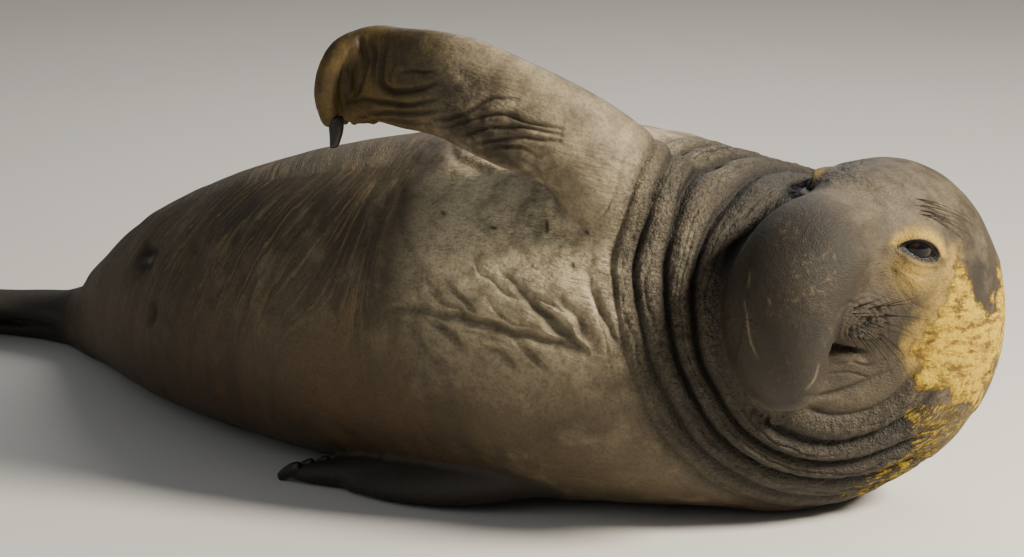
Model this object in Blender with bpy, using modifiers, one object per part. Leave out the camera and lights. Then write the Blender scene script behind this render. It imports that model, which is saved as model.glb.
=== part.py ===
"""Young male elephant seal, life size, lying on its left side with the head turned back.

Metres, +Z up. +X runs from the tail to the shoulders, +Y to the animal's back, and the
floor is Z = 0 below the middle of the chest. The whole animal is modelled once, from
overlapping ellipsoids fused into one skin, and thin cuts then part it into its named pieces.
"""
import math

import bmesh
import bpy
import numpy as np
from mathutils import Matrix

# Fineness of the modelling and size of the finished solids
COARSE_VOXEL = 0.014
FINE_VOXEL = 0.0095
BODY_TRIANGLES = 6400
GAP = 0.0003
WELD = 0.00002
FLOOR_ROUND = 0.012

# Trunk and neck stations: x, y, z, then half heights up and down, and half widths to the
# belly and to the back. The neck bends to the back and then curls up under the head.
TRUNK_STATIONS = (
    (-1.700, 0.022, 0.062, 0.030, 0.036, 0.040, 0.040),
    (-1.640, 0.016, 0.068, 0.058, 0.066, 0.068, 0.068),
    (-1.560, 0.010, 0.080, 0.080, 0.090, 0.095, 0.095),
    (-1.330, -0.045, 0.150, 0.150, 0.160, 0.160, 0.160),
    (-1.050, -0.100, 0.225, 0.235, 0.235, 0.240, 0.240),
    (-0.700, -0.110, 0.295, 0.310, 0.305, 0.320, 0.320),
    (-0.350, -0.055, 0.345, 0.355, 0.355, 0.370, 0.370),
    (-0.020, 0.045, 0.370, 0.380, 0.385, 0.390, 0.390),
    (0.170, 0.165, 0.355, 0.355, 0.365, 0.370, 0.370),
    (0.290, 0.285, 0.335, 0.325, 0.345, 0.330, 0.330),
    (0.375, 0.335, 0.385, 0.270, 0.310, 0.270, 0.280),
    (0.410, 0.350, 0.465, 0.235, 0.260, 0.230, 0.250),
)

# Head: the middle between the eyes, and the directions forward, to the animal's left and up
HEAD_MIDDLE = (0.520, 0.211, 0.625)
HEAD_FORWARD = (0.163, -0.972, 0.167)
HEAD_UP = (0.304, 0.210, 0.929)
CRANIUM = ((-0.130, 0.0, -0.020), (0.170, 0.160, 0.125))
BROW = ((-0.020, 0.0, -0.005), (0.110, 0.140, 0.085))
CHEEK = ((-0.090, 0.105, -0.095), (0.150, 0.085, 0.125))
MUZZLE = ((0.060, 0.0, -0.100), (0.130, 0.115, 0.085))
WHISKER_PAD = ((0.085, 0.100, -0.160), (0.075, 0.050, 0.050))
THROAT = ((-0.120, 0.0, -0.200), (0.160, 0.170, 0.140))
# Trunk-like nose: forward, left, up, half width and half thickness; its tip hangs to the left
NOSE_STATIONS = (
    (-0.020, 0.000, 0.000, 0.095, 0.065),
    (0.090, 0.000, -0.030, 0.105, 0.075),
    (0.180, 0.005, -0.085, 0.115, 0.095),
    (0.212, 0.017, -0.165, 0.117, 0.100),
    (0.200, 0.038, -0.250, 0.102, 0.088),
    (0.168, 0.055, -0.305, 0.082, 0.068),
)
JAW_STATIONS = (
    (-0.080, 0.000, -0.240, 0.130, 0.085),
    (0.040, 0.000, -0.265, 0.105, 0.052),
    (0.115, 0.010, -0.270, 0.065, 0.038),
)
EYE_RADIUS = 0.034
EYE_SPOT = (0.000, 0.116, 0.000)
EYE_LID = 0.010
EYE_OPENING = (0.037, 0.017)
EYE_LOOK = (0.55, 0.83, 0.06)
MOUTH_MIDDLE = (0.105, 0.0, -0.226)
MOUTH_SIZE = (0.105, 0.160, 0.010)
NOSTRIL_SPOT = (0.158, 0.028, -0.400)
NOSTRIL_SIZE = (0.026, 0.010, 0.018)

# Raised right foreflipper: x, y, z, half width, half thickness of the arm and palm
ARM_STATIONS = (
    (0.205, -0.070, 0.625, 0.130, 0.100),
    (0.115, -0.195, 0.775, 0.100, 0.078),
    (0.020, -0.265, 0.826, 0.104, 0.060),
    (-0.095, -0.315, 0.868, 0.101, 0.046),
    (-0.210, -0.340, 0.866, 0.092, 0.036),
    (-0.275, -0.355, 0.850, 0.070, 0.030),
)
HAND_OUT = (-0.695, -0.719, 0.0)
HAND_UP = (-0.174, 0.168, 0.970)
HAND_PIVOT = (-0.280, -0.342, 0.769)
# The digits bend round the pivot: reach out, reach up, depth to the palm side, radius
HAND_DIGITS = (
    (0.100, 0.158, 0.020, 0.030),
    (0.072, 0.105, -0.012, 0.027),
    (0.049, 0.064, -0.024, 0.022),
    (0.028, 0.046, -0.020, 0.017),
    (0.002, 0.022, -0.016, 0.014),
)
# Bend of a digit: angles of its points round the pivot, how square it is, and its end
BEND_TURNS = (1.45, 1.0, 0.60, 0.25)
BEND_SQUARE = 0.75
BEND_END = 0.12
FIRST_END = 0.0
CURL = 0.88
DIGIT_TAPER = (1.05, 1.0, 0.95, 0.88, 0.76, 0.56)
# Where the digits start in the palm: level and spread of their roots, and how far back
PALM_LEVEL = 0.08
PALM_SPREAD = 0.7
PALM_REACH = 0.75

# Left foreflipper, flat on the floor, and the two hind flippers, one above the other
LEFT_STATIONS = (
    (-0.010, -0.120, 0.110, 0.100, 0.075),
    (-0.140, -0.236, 0.062, 0.082, 0.048),
    (-0.262, -0.288, 0.044, 0.070, 0.036),
    (-0.362, -0.306, 0.035, 0.056, 0.027),
)
LEFT_SIDE = (0.20, 0.90, 0.35)
LEFT_TIPS = ((-0.505, -0.376, 0.018), (-0.498, -0.345, 0.021), (-0.481, -0.316, 0.024),
             (-0.457, -0.291, 0.028), (-0.423, -0.270, 0.031))
HIND_RIGHT = (
    (-1.540, 0.000, 0.088, 0.075, 0.050),
    (-1.720, -0.035, 0.084, 0.060, 0.034),
    (-1.870, -0.085, 0.075, 0.085, 0.018),
    (-2.010, -0.145, 0.062, 0.120, 0.011),
)
HIND_LEFT = (
    (-1.540, 0.020, 0.052, 0.075, 0.050),
    (-1.720, 0.015, 0.030, 0.060, 0.034),
    (-1.870, -0.010, 0.016, 0.085, 0.018),
    (-2.010, -0.040, 0.009, 0.120, 0.011),
)
HIND_SIDE = (-0.35, 1.0, 0.0)
HIND_REACH = (0.205, 0.150, 0.125, 0.145, 0.190)
HIND_FAN = 0.50
HIND_DIGIT = 0.015
TAIL_STATIONS = (
    (-1.580, 0.045, 0.075, 0.055, 0.045),
    (-1.680, 0.085, 0.066, 0.034, 0.026),
    (-1.760, 0.110, 0.058, 0.020, 0.013),
)
ANKLE_X = -1.620

# Grooves of the neck lie in rings round the face: distance from its middle, and depth
FOLD_MIDDLE = (0.484, 0.149, 0.431)
FOLD_TURN = (0.368, 0.627, 0.686)
FOLD_PLAIN_SIDE = (0.620, 0.740, 0.280)
NECK_GROOVES = ((0.192, 0.008), (0.247, 0.012), (0.310, 0.015), (0.382, 0.015), (0.450, 0.010))
GROOVE_WIDTH = 0.0145

NOSE_TIP_SIDE = 0.060
FACET_RATIO = 0.982
EYE_OPENING_DEPTH = 0.020
SMALLEST_PIECE = 1e-5
CLAW_LENGTH = 0.044
CLAW_ROOT = 0.0100
CLAW_TIP = 0.0042
CLAW_SIZES = (1.2, 0.95, 0.8, 0.65, 0.5)
CLAW_SINK = 0.0035
CLAW_SET_BACK = 0.024
LONG_CLAW_SET_BACK = 0.008
CLAW_TILT = 0.12
LOW_CLAW_BACK = (-0.2, -0.3, 1.0)

SKIN = ("grey brown skin", (0.125, 0.100, 0.078, 1.0), 0.45)
DARK_SKIN = ("dark flipper skin", (0.085, 0.066, 0.050, 1.0), 0.40)
EYE = ("wet dark eye", (0.010, 0.008, 0.007, 1.0), 0.08)
CLAW = ("dark horn", (0.030, 0.024, 0.020, 1.0), 0.35)


def unit(v):
    v = np.asarray(v, float)
    return v / np.linalg.norm(v)


FORWARD = unit(HEAD_FORWARD)
LEFTWARD = unit(np.cross(HEAD_UP, FORWARD))
UPWARD = np.cross(FORWARD, LEFTWARD)
HEAD_AXES = np.array([FORWARD, LEFTWARD, UPWARD])
HAND_AXES = np.array([unit(HAND_OUT), unit(HAND_UP), unit(np.cross(HAND_UP, HAND_OUT))])


def head_point(place):
    """World point of a place given forward, left and up from the middle between the eyes."""
    return np.asarray(HEAD_MIDDLE) + np.asarray(place, float) @ HEAD_AXES


# Parting cuts: name, a point of the cut, its normal, a direction in it and its half sizes
PARTING = (
    ("rump_cut", (-1.050, -0.10, 0.25), (1.0, 0.10, 0.0), (0.0, 1.0, 0.0), (0.45, 0.45)),
    ("waist_cut", (-0.440, -0.06, 0.35), (1.0, 0.15, 0.0), (0.0, 1.0, 0.0), (0.55, 0.40)),
    ("neck_cut", (0.130, 0.10, 0.36), (0.95, 0.30, 0.0), (-0.3, 0.95, 0.0), (0.60, 0.55)),
    ("head_cut", (0.390, 0.15, 0.49), (0.923, -0.067, 0.378), (0.0, 1.0, 0.0), (0.60, 0.62)),
    ("arm_cut", (0.020, -0.265, 0.815), (0.93, 0.30, -0.25), (0.25, 0.0, 0.95), (0.135, 0.10)),
    ("wrist_cut", (-0.200, -0.340, 0.830), (1.0, 0.25, 0.0), (0.0, 0.0, 1.0), (0.15, 0.12)),
)
# Each piece of the parted skin is named for the place its middle is nearest to
PIECE_MIDDLES = {
    "head": (0.52, 0.20, 0.50),
    "neck": (0.26, 0.20, 0.36),
    "chest": (-0.10, 0.02, 0.37),
    "abdomen": (-0.75, -0.08, 0.30),
    "rump": (-1.30, -0.05, 0.17),
    "foreflipper_right": (-0.08, -0.29, 0.84),
    "hand_right": (-0.28, -0.35, 0.85),
}
LIMBS = (
    ("foreflipper_left", 0.0060, 760),
    ("hindflipper_left", 0.0045, 760),
    ("hindflipper_right", 0.0045, 760),
    ("tail", 0.0060, 160),
)


def smooth_min(a, b, k):
    h = np.clip(0.5 + 0.5 * (b - a) / k, 0.0, 1.0)
    return b + (a - b) * h - k * h * (1.0 - h)


def smooth_max(a, b, k):
    return -smooth_min(-a, -b, k)


def spline(rows, count):
    """Cubic spline through the rows, in equal steps of the distance along their points."""
    rows = np.asarray(rows, float)
    leg = np.linalg.norm(np.diff(rows[:, :3], axis=0), axis=1)
    knots = np.concatenate([[0.0], np.cumsum(leg)])
    t = np.linspace(0.0, knots[-1], count)
    slope = np.gradient(rows, knots, axis=0)
    i = np.clip(np.searchsorted(knots, t, side="right") - 1, 0, len(rows) - 2)
    h = (knots[i + 1] - knots[i])[:, None]
    x = (t - knots[i])[:, None] / h
    start = (2 * x**3 - 3 * x**2 + 1) * rows[i] + (x**3 - 2 * x**2 + x) * h * slope[i]
    end = (3 * x**2 - 2 * x**3) * rows[i + 1] + (x**3 - x**2) * h * slope[i + 1]
    return start + end


class Ball:
    """Ellipsoid with its own axes."""

    def __init__(self, centre, radii, axes, blend):
        self.centre = np.asarray(centre, np.float32)
        self.radii = np.asarray(radii, np.float32)
        self.axes = np.asarray(axes, np.float32)
        self.blend = blend
        self.middle = self.centre
        self.reach = float(self.radii.max())

    def distance(self, p):
        q = (p - self.centre) @ self.axes.T / self.radii
        k0 = np.linalg.norm(q, axis=1)
        k1 = np.linalg.norm(q / self.radii, axis=1)
        return k0 * (k0 - 1.0) / np.maximum(k1, 1e-6)

    def ellipsoids(self):
        return [(self.centre, self.radii, self.axes)]


class Limb:
    """Tapered body: ellipsoids in close steps along a spline, with unlike half widths.

    Each row is x, y, z and the half widths to the side, against it, to the face and against it.
    """

    def __init__(self, rows, side, count, blend):
        steps = spline(rows, count)
        self.blend = blend
        self.count = count
        self.centre = steps[:, :3].astype(np.float32)
        along = np.gradient(steps[:, :3], axis=0)
        along /= np.linalg.norm(along, axis=1)[:, None]
        across = np.asarray(side, float) - (along @ np.asarray(side, float))[:, None] * along
        across /= np.linalg.norm(across, axis=1)[:, None]
        face = np.cross(along, across)
        self.axes = np.stack([along, across, face], 1).astype(np.float32)
        self.plus = np.stack([steps[:, 3], steps[:, 3], steps[:, 5]], 1).astype(np.float32)
        self.minus = np.stack([steps[:, 3], steps[:, 4], steps[:, 6]], 1).astype(np.float32)
        thin = np.minimum(self.plus[:, 1:].mean(1), self.minus[:, 1:].mean(1))
        self.plus[:, 0] = thin
        self.minus[:, 0] = thin
        self.middle = (self.centre.max(0) + self.centre.min(0)) / 2.0
        far = np.linalg.norm(self.centre - self.middle, axis=1)
        self.reach = float((far + np.maximum(self.plus, self.minus).max(1)).max())

    def distance(self, p):
        out = np.empty(len(p), np.float32)
        for a in range(0, len(p), 60000):
            part = p[a:a + 60000]
            q = np.einsum("kij,nkj->nki", self.axes, part[:, None, :] - self.centre[None])
            r = np.where(q > 0, self.plus[None], self.minus[None])
            w = q / r
            k0 = np.sqrt((w**2).sum(2))
            k1 = np.sqrt(((w / r)**2).sum(2))
            f = k0 * (k0 - 1.0) / np.maximum(k1, 1e-6)
            k = np.clip(f.argmin(1), 1, self.count - 2)
            n = np.arange(len(part))
            before, here, after = f[n, k - 1], f[n, k], f[n, k + 1]
            curve = np.maximum(before - 2.0 * here + after, 1e-9)
            shift = np.clip((before - after) / (2.0 * curve), -1.0, 1.0)
            out[a:a + len(part)] = here - 0.25 * (before - after) * shift
        return out

    def ellipsoids(self):
        return list(zip(self.centre, (self.plus + self.minus) / 2.0, self.axes))


def round_limb(points, radii, side, count, blend):
    """Limb of round sections."""
    rows = [(*p, r, r, r, r) for p, r in zip(points, radii)]
    return Limb(rows, side, count, blend)


def flat_limb(rows, side, count, blend):
    """Limb of flat sections, each with a half width and a half thickness."""
    return Limb([(x, y, z, w, w, t, t) for x, y, z, w, t in rows], side, count, blend)


def fan_digits(root, tips, radius, blend):
    """Slender digits from one wrist to the tips of a flipper."""
    out = []
    for tip in tips:
        start, reach = np.asarray(root, float), np.asarray(tip, float) - np.asarray(root, float)
        points = [start + reach * s for s in (0.0, 0.45, 0.8, 1.0)]
        radii = [radius * k for k in (1.15, 1.1, 0.9, 0.55)]
        out.append(round_limb(points, radii, (0.1, 0.2, 1.0), 16, blend))
    return out


def hind_tips(rows):
    """Tips of the five digits of a hind flipper, the outer two longest."""
    wrist = np.array(rows[1][:3])
    out_v = unit(np.array(rows[-1][:3]) - np.array(rows[2][:3]))
    side = unit(np.cross((0.0, 0.0, 1.0), out_v))
    mid = np.array(rows[2][:3])
    tips = []
    for i, reach in enumerate(HIND_REACH):
        turn = HIND_FAN * (i - 2) / 2.0
        tips.append(mid + reach * 1.25 * (out_v * math.cos(turn) + side * math.sin(turn)))
    return wrist, tips


def hand_digits():
    """Digits of the raised flipper: straight through the palm, then bent down round the pivot."""
    out = []
    palm = np.asarray(ARM_STATIONS[3][:3])
    for i, (out_reach, up_reach, depth, radius) in enumerate(HAND_DIGITS):
        pivot = np.asarray(HAND_PIVOT) + depth * HAND_AXES[2]
        top = pivot + up_reach * HAND_AXES[1]
        base = palm + PALM_SPREAD * (up_reach - PALM_LEVEL) * HAND_AXES[1]
        points = [top + PALM_REACH * (base - top)]
        for turn in (*BEND_TURNS, BEND_END if i else FIRST_END):
            across = out_reach * math.cos(turn)**BEND_SQUARE * (1.0 if turn > BEND_END else CURL)
            rise = up_reach * math.sin(turn)**BEND_SQUARE
            points.append(pivot + across * HAND_AXES[0] + rise * HAND_AXES[1])
        radii = [radius * k for k in DIGIT_TAPER]
        out.append(round_limb(points, radii, HAND_AXES[2], 20, 0.022))
    return out


def head_ball(shape, blend, flip=False):
    forward, left, up = shape[0]
    return Ball(head_point((forward, -left if flip else left, up)), shape[1], HEAD_AXES, blend)


def head_limb(rows, count, blend):
    rows = [(*head_point((f, s, u)), w, w, t, t) for f, s, u, w, t in rows]
    return Limb(rows, LEFTWARD, count, blend)


def eye_centre(sign):
    return head_point((EYE_SPOT[0], sign * EYE_SPOT[1], EYE_SPOT[2]))


def eye_axes(sign):
    """Axes of the eye: out of the head, along the lids, and across them."""
    look = unit(np.array([EYE_LOOK[0], sign * EYE_LOOK[1], EYE_LOOK[2]]) @ HEAD_AXES)
    across = unit(UPWARD - (UPWARD @ look) * look)
    return np.array([look, np.cross(across, look), across])


TRUNK = Limb(TRUNK_STATIONS, (0.0, 0.0, 1.0), 60, 0.0)
# The skull and throat carry the neck's grooves; the rest of the face lies over them
SKULL_PARTS = [
    head_ball(CRANIUM, 0.05),
    head_ball(BROW, 0.05),
    head_ball(CHEEK, 0.05),
    head_ball(CHEEK, 0.05, True),
    head_ball(MUZZLE, 0.05),
    head_ball(THROAT, 0.06),
]
FACE_PARTS = [
    head_ball(WHISKER_PAD, 0.05),
    head_ball(WHISKER_PAD, 0.05, True),
    head_limb(NOSE_STATIONS, 30, 0.032),
    head_limb(JAW_STATIONS, 16, 0.03),
    Ball(eye_centre(1), (EYE_RADIUS + EYE_LID,) * 3, HEAD_AXES, 0.02),
    Ball(eye_centre(-1), (EYE_RADIUS + EYE_LID,) * 3, HEAD_AXES, 0.02),
]
ARM = flat_limb(ARM_STATIONS, HAND_UP, 34, 0.0)
LEFT_FLIPPER = flat_limb(LEFT_STATIONS, LEFT_SIDE, 24, 0.0)
TAIL = flat_limb(TAIL_STATIONS, (0.4, 1.0, 0.0), 16, 0.0)


def hind_group(rows):
    wrist, tips = hind_tips(rows)
    digits = fan_digits(wrist, tips, HIND_DIGIT, 0.016)
    return flat_limb(rows, HIND_SIDE, 24, 0.0), digits, 0.022


# Each flipper: its paddle, its digits and how softly it joins the body
RAISED = (ARM, hand_digits(), 0.055)
LEFT = (LEFT_FLIPPER, fan_digits(LEFT_STATIONS[2][:3], LEFT_TIPS, 0.021, 0.02), 0.030)
HINDS = (hind_group(HIND_RIGHT), hind_group(HIND_LEFT))
TAIL_GROUP = (TAIL, [], 0.022)


def near(part, p, band=0.13):
    """Distance to a part, measured only where it can matter."""
    rough = np.linalg.norm(p - part.middle.astype(np.float32), axis=1) - part.reach
    out = np.maximum(rough, band / 2.0).astype(np.float32)
    close = rough < band
    if close.any():
        out[close] = part.distance(p[close])
    return out


def step_between(x, low, high):
    t = np.clip((x - low) / (high - low), 0.0, 1.0)
    return t * t * (3.0 - 2.0 * t)


def neck_folds(p):
    """Inward shift of the skin in the grooves that ring the face."""
    q = p - np.asarray(FOLD_MIDDLE, np.float32)
    reach = np.linalg.norm(q, axis=1)
    turn = q @ np.asarray(FOLD_TURN, np.float32)
    v = reach - 0.2 * step_between(reach, 0.25, 0.36) * turn
    v = v + 0.004 * np.sin(11.0 * q[:, 2] + 9.0 * q[:, 1]) + 0.002 * np.sin(37.0 * q[:, 2])
    plain = step_between(q @ np.asarray(FOLD_PLAIN_SIDE, np.float32), 0.06, 0.20)
    depth = np.zeros(len(p), np.float32)
    for place, deep in NECK_GROOVES:
        depth += deep * np.exp(-((v - place) / GROOVE_WIDTH)**2)
    return depth * (1.0 - plain)


def flipper(group, p):
    """Signed distance to a flipper alone."""
    paddle, digits, _ = group
    d = near(paddle, p)
    for digit in digits:
        d = smooth_min(d, near(digit, p), digit.blend)
    return d


def trunk_and_head(p):
    """Signed distance to the animal without its flippers."""
    d = TRUNK.distance(p)
    for part in SKULL_PARTS:
        d = smooth_min(d, near(part, p), part.blend)
    d = d + neck_folds(p)
    for part in FACE_PARTS:
        d = smooth_min(d, near(part, p), part.blend)
    return d


def floored(d, p, rounding=FLOOR_ROUND):
    return smooth_max(d, -p[:, 2], rounding)


def armed_body(p):
    """Signed distance to the trunk, head and raised flipper, negative inside."""
    p = np.asarray(p, np.float32)
    return floored(smooth_min(trunk_and_head(p), flipper(RAISED, p), RAISED[2]), p)


def low_limb(group):
    """Signed distance function of one flipper that rests on the floor."""

    def measured(p):
        p = np.asarray(p, np.float32)
        return floored(flipper(group, p), p, FLOOR_ROUND / 4.0)

    return measured


def settle(form, points, steps):
    """Move points onto the surface of a form along its slope."""
    tetra = np.array([(1, -1, -1), (-1, -1, 1), (-1, 1, -1), (1, 1, 1)], float)
    h = 0.002
    for _ in range(steps):
        slope = sum(k * form(points + h * k)[:, None] for k in tetra) / (4.0 * h)
        size = np.maximum((slope**2).sum(1), 0.2)
        shift = np.clip(form(points) / size, -0.02, 0.02)
        points = points - slope * shift[:, None]
    return points


def on_skin(form, place):
    """Nearest place on a form's surface, and the outward direction there."""
    spot = settle(form, np.array([place]), 6)
    nudge = spot + np.eye(3) * 0.002
    slope = form(nudge) - form(spot)
    return spot[0], unit(slope)


def new_object(name, mesh, collection):
    ob = bpy.data.objects.new(name, mesh)
    collection.objects.link(ob)
    return ob


def matrix_of(centre, radii, axes):
    """Matrix that turns a unit sphere into the ellipsoid."""
    m = Matrix.Identity(4)
    for i in range(3):
        for j in range(3):
            m[i][j] = float(axes[j][i] * radii[j])
        m[i][3] = float(centre[i])
    return m


def sphere_mesh(name, shapes, subdivisions):
    bm = bmesh.new()
    for centre, radii, axes in shapes:
        bmesh.ops.create_icosphere(
            bm, subdivisions=subdivisions, radius=1.0, matrix=matrix_of(centre, radii, axes)
        )
    mesh = bpy.data.meshes.new(name)
    bm.to_mesh(mesh)
    bm.free()
    return mesh


def applied(ob):
    """Mesh of the object with its modifiers, as a new mesh."""
    bpy.context.view_layer.update()
    graph = bpy.context.evaluated_depsgraph_get()
    mesh = bpy.data.meshes.new_from_object(ob.evaluated_get(graph))
    old = ob.data
    ob.modifiers.clear()
    ob.data = mesh
    bpy.data.meshes.remove(old)
    return mesh


def remesh(ob, voxel):
    mod = ob.modifiers.new("fuse", "REMESH")
    mod.mode = "VOXEL"
    mod.voxel_size = voxel
    mod.adaptivity = 0.0
    return applied(ob)


def points_of(mesh):
    co = np.empty(len(mesh.vertices) * 3, np.float32)
    mesh.vertices.foreach_get("co", co)
    return co.reshape(-1, 3).astype(float)


def set_points(mesh, points):
    mesh.vertices.foreach_set("co", np.asarray(points, np.float32).ravel())
    mesh.update()


def fused(name, parts, form, voxels, collection):
    """One closed skin over the parts, settled on the form."""
    shapes = []
    for part in parts:
        shapes += part.ellipsoids()
    ob = new_object(name, sphere_mesh(name, shapes, 3), collection)
    for voxel, steps in voxels:
        mesh = remesh(ob, voxel)
        set_points(mesh, settle(form, points_of(mesh), steps))
    return ob


def thin_to(ob, triangles):
    """Fewer triangles, where the form is plain."""
    count = sum(len(p.vertices) - 2 for p in ob.data.polygons)
    mod = ob.modifiers.new("thin", "DECIMATE")
    mod.ratio = min(1.0, triangles / count)
    mod.use_collapse_triangulate = True
    applied(ob)


def box(name, collection, centre, axes, half):
    """Cutter box with its own axes."""
    bm = bmesh.new()
    m = matrix_of(centre, half, np.asarray(axes, float))
    bmesh.ops.create_cube(bm, size=2.0, matrix=m)
    if m.determinant() < 0.0:
        bmesh.ops.reverse_faces(bm, faces=bm.faces)
    mesh = bpy.data.meshes.new(name)
    bm.to_mesh(mesh)
    bm.free()
    return cutter(new_object(name, mesh, collection))


def cutter(ob):
    ob.hide_render = True
    ob.display_type = "WIRE"
    return ob


def lens(name, collection, centre, axes, radii, subdivisions=3):
    """Cutter ellipsoid."""
    return cutter(new_object(name, sphere_mesh(name, [(centre, radii, axes)], subdivisions), collection))


def facing(normal, side):
    """Right-handed axes with the normal first and the side direction second."""
    n = unit(normal)
    s = unit(np.asarray(side, float) - (np.asarray(side, float) @ n) * n)
    return np.array([n, s, np.cross(n, s)])


def cut(ob, tool):
    mod = ob.modifiers.new("cut", "BOOLEAN")
    mod.operation = "DIFFERENCE"
    mod.object = tool
    mod.solver = "EXACT"
    applied(ob)
    mesh = bmesh.new()
    mesh.from_mesh(ob.data)
    bmesh.ops.remove_doubles(mesh, verts=mesh.verts, dist=WELD)
    mesh.to_mesh(ob.data)
    mesh.free()


def swollen(ob, name, collection):
    """Cutter that is the object grown by the gap between neighbours."""
    mesh = ob.data.copy()
    mesh.name = name
    normals = np.empty(len(mesh.vertices) * 3, np.float32)
    mesh.vertices.foreach_get("normal", normals)
    set_points(mesh, points_of(mesh) + GAP * 1.2 * normals.reshape(-1, 3))
    return cutter(new_object(name, mesh, collection))


def painted(ob, look):
    """Give the object its own material."""
    title, colour, roughness = look
    mat = bpy.data.materials.new(ob.name + " " + title)
    mat.use_nodes = True
    shader = mat.node_tree.nodes["Principled BSDF"]
    shader.inputs["Base Color"].default_value = colour
    shader.inputs["Roughness"].default_value = roughness
    shader.inputs["Metallic"].default_value = 0.0
    ob.data.materials.clear()
    ob.data.materials.append(mat)


def loose_parts(ob, collection):
    """The closed pieces of a parted mesh, each as its own object, largest first."""
    bm = bmesh.new()
    bm.from_mesh(ob.data)
    bm.verts.ensure_lookup_table()
    seen = set()
    pieces = []
    for start in bm.verts:
        if start.index in seen:
            continue
        seen.add(start.index)
        stack = [start]
        members = []
        while stack:
            v = stack.pop()
            members.append(v.index)
            for e in v.link_edges:
                w = e.other_vert(v)
                if w.index not in seen:
                    seen.add(w.index)
                    stack.append(w)
        pieces.append(members)
    bm.free()
    pieces.sort(key=len, reverse=True)
    out = []
    for members in pieces:
        keep = set(members)
        piece = bmesh.new()
        piece.from_mesh(ob.data)
        piece.verts.ensure_lookup_table()
        drop = [v for v in piece.verts if v.index not in keep]
        bmesh.ops.delete(piece, geom=drop, context="VERTS")
        mesh = bpy.data.meshes.new("piece")
        piece.to_mesh(mesh)
        volume = piece.calc_volume()
        piece.free()
        out.append((new_object("piece", mesh, collection), volume))
    return out


def claw_mesh(name, size, grow):
    """Curved pointed claw along +X, its root at the origin; grow widens it by the gap."""
    bm = bmesh.new()
    bmesh.ops.create_cone(
        bm,
        cap_ends=True,
        segments=10,
        radius1=CLAW_ROOT * size + grow,
        radius2=CLAW_TIP * size + grow,
        depth=CLAW_LENGTH * size + 2.0 * grow,
        matrix=Matrix.Rotation(math.pi / 2.0, 4, "Y"),
    )
    half = CLAW_LENGTH * size / 2.0
    long_edges = [e for e in bm.edges if abs(e.verts[0].co.x - e.verts[1].co.x) > half]
    bmesh.ops.subdivide_edges(bm, edges=long_edges, cuts=3)
    for v in bm.verts:
        t = v.co.x / (2.0 * half) + 0.5
        v.co.x += half
        swell = 1.0 + 0.25 * math.sin(math.pi * min(max(t, 0.0), 1.0))
        v.co.y *= 0.8 * swell
        v.co.z = v.co.z * swell - 0.010 * size * t * t
    bmesh.ops.triangulate(bm, faces=bm.faces)
    mesh = bpy.data.meshes.new(name)
    bm.to_mesh(mesh)
    bm.free()
    return mesh


def claw_frame(form, digit, back, set_back):
    """Place a claw on the skin near a digit's tip, pointing on along the digit."""
    tip = digit.centre[-1].astype(float)
    along = unit(tip - digit.centre[-5])
    rise = unit(np.asarray(back, float) - (np.asarray(back, float) @ along) * along)
    spot, outward = on_skin(form, tip + rise * digit.plus[-2, 1] - along * set_back)
    along = unit(along - (along @ outward) * outward + CLAW_TILT * outward)
    up = unit(outward - (outward @ along) * along)
    root = spot - outward * CLAW_SINK
    return matrix_of(root, (1.0, 1.0, 1.0), np.array([along, np.cross(up, along), up]))


def ball_mesh(name, centre, radius, axes):
    """Round ball with its poles on the first axis."""
    bm = bmesh.new()
    turned = np.array([axes[1], axes[2], axes[0]])
    m = matrix_of(centre, (radius,) * 3, turned)
    bmesh.ops.create_uvsphere(bm, u_segments=20, v_segments=12, radius=1.0, matrix=m)
    mesh = bpy.data.meshes.new(name)
    bm.to_mesh(mesh)
    bm.free()
    return mesh


def make_limbs(seal, cutters, floor):
    """The flippers on the floor and the tail, each a body of its own."""
    groups = (LEFT, HINDS[1], HINDS[0], TAIL_GROUP)
    limbs = {}
    for (name, voxel, triangles), group in zip(LIMBS, groups):
        steps = ((voxel * 1.5, 3), (voxel, 2))
        limbs[name] = fused(name, [group[0], *group[1]], low_limb(group), steps, seal)
        thin_to(limbs[name], triangles)
        cut(limbs[name], floor)
    middle = (ANKLE_X - GAP / 2.0 + 1.0, 0.0, 0.2)
    front = box("before_ankle", cutters, middle, np.eye(3), (1.0, 0.6, 0.6))
    for name in ("hindflipper_left", "hindflipper_right", "tail"):
        cut(limbs[name], front)
    left_space = swollen(limbs["hindflipper_left"], "left_hind_space", cutters)
    cut(limbs["hindflipper_right"], left_space)
    cut(limbs["tail"], left_space)
    cut(limbs["tail"], swollen(limbs["hindflipper_right"], "right_hind_space", cutters))
    return limbs


def open_face(whole, seal, cutters):
    """Eyes in their sockets, the openings between the lids, the mouth and the nostrils."""
    for side, sign in (("left", 1), ("right", -1)):
        centre, axes = eye_centre(sign), eye_axes(sign)
        name = "eye_" + side
        eye = new_object(name, ball_mesh(name, centre, EYE_RADIUS, axes), seal)
        painted(eye, EYE)
        room = (EYE_RADIUS / FACET_RATIO + GAP,) * 3
        cut(whole, lens("socket_" + side, cutters, centre, axes, room))
        size = (EYE_OPENING_DEPTH, EYE_OPENING[0], EYE_OPENING[1])
        gape = centre + axes[0] * EYE_RADIUS
        cut(whole, lens("lids_" + side, cutters, gape, axes, size))
        place = (NOSTRIL_SPOT[0], NOSE_TIP_SIDE + sign * NOSTRIL_SPOT[1], NOSTRIL_SPOT[2])
        spot, outward = on_skin(armed_body, head_point(place))
        cut(whole, lens("nostril_" + side, cutters, spot, facing(outward, LEFTWARD), NOSTRIL_SIZE))
    mouth = head_point(MOUTH_MIDDLE)
    cut(whole, lens("mouth_gap", cutters, mouth, HEAD_AXES, MOUTH_SIZE))


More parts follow.
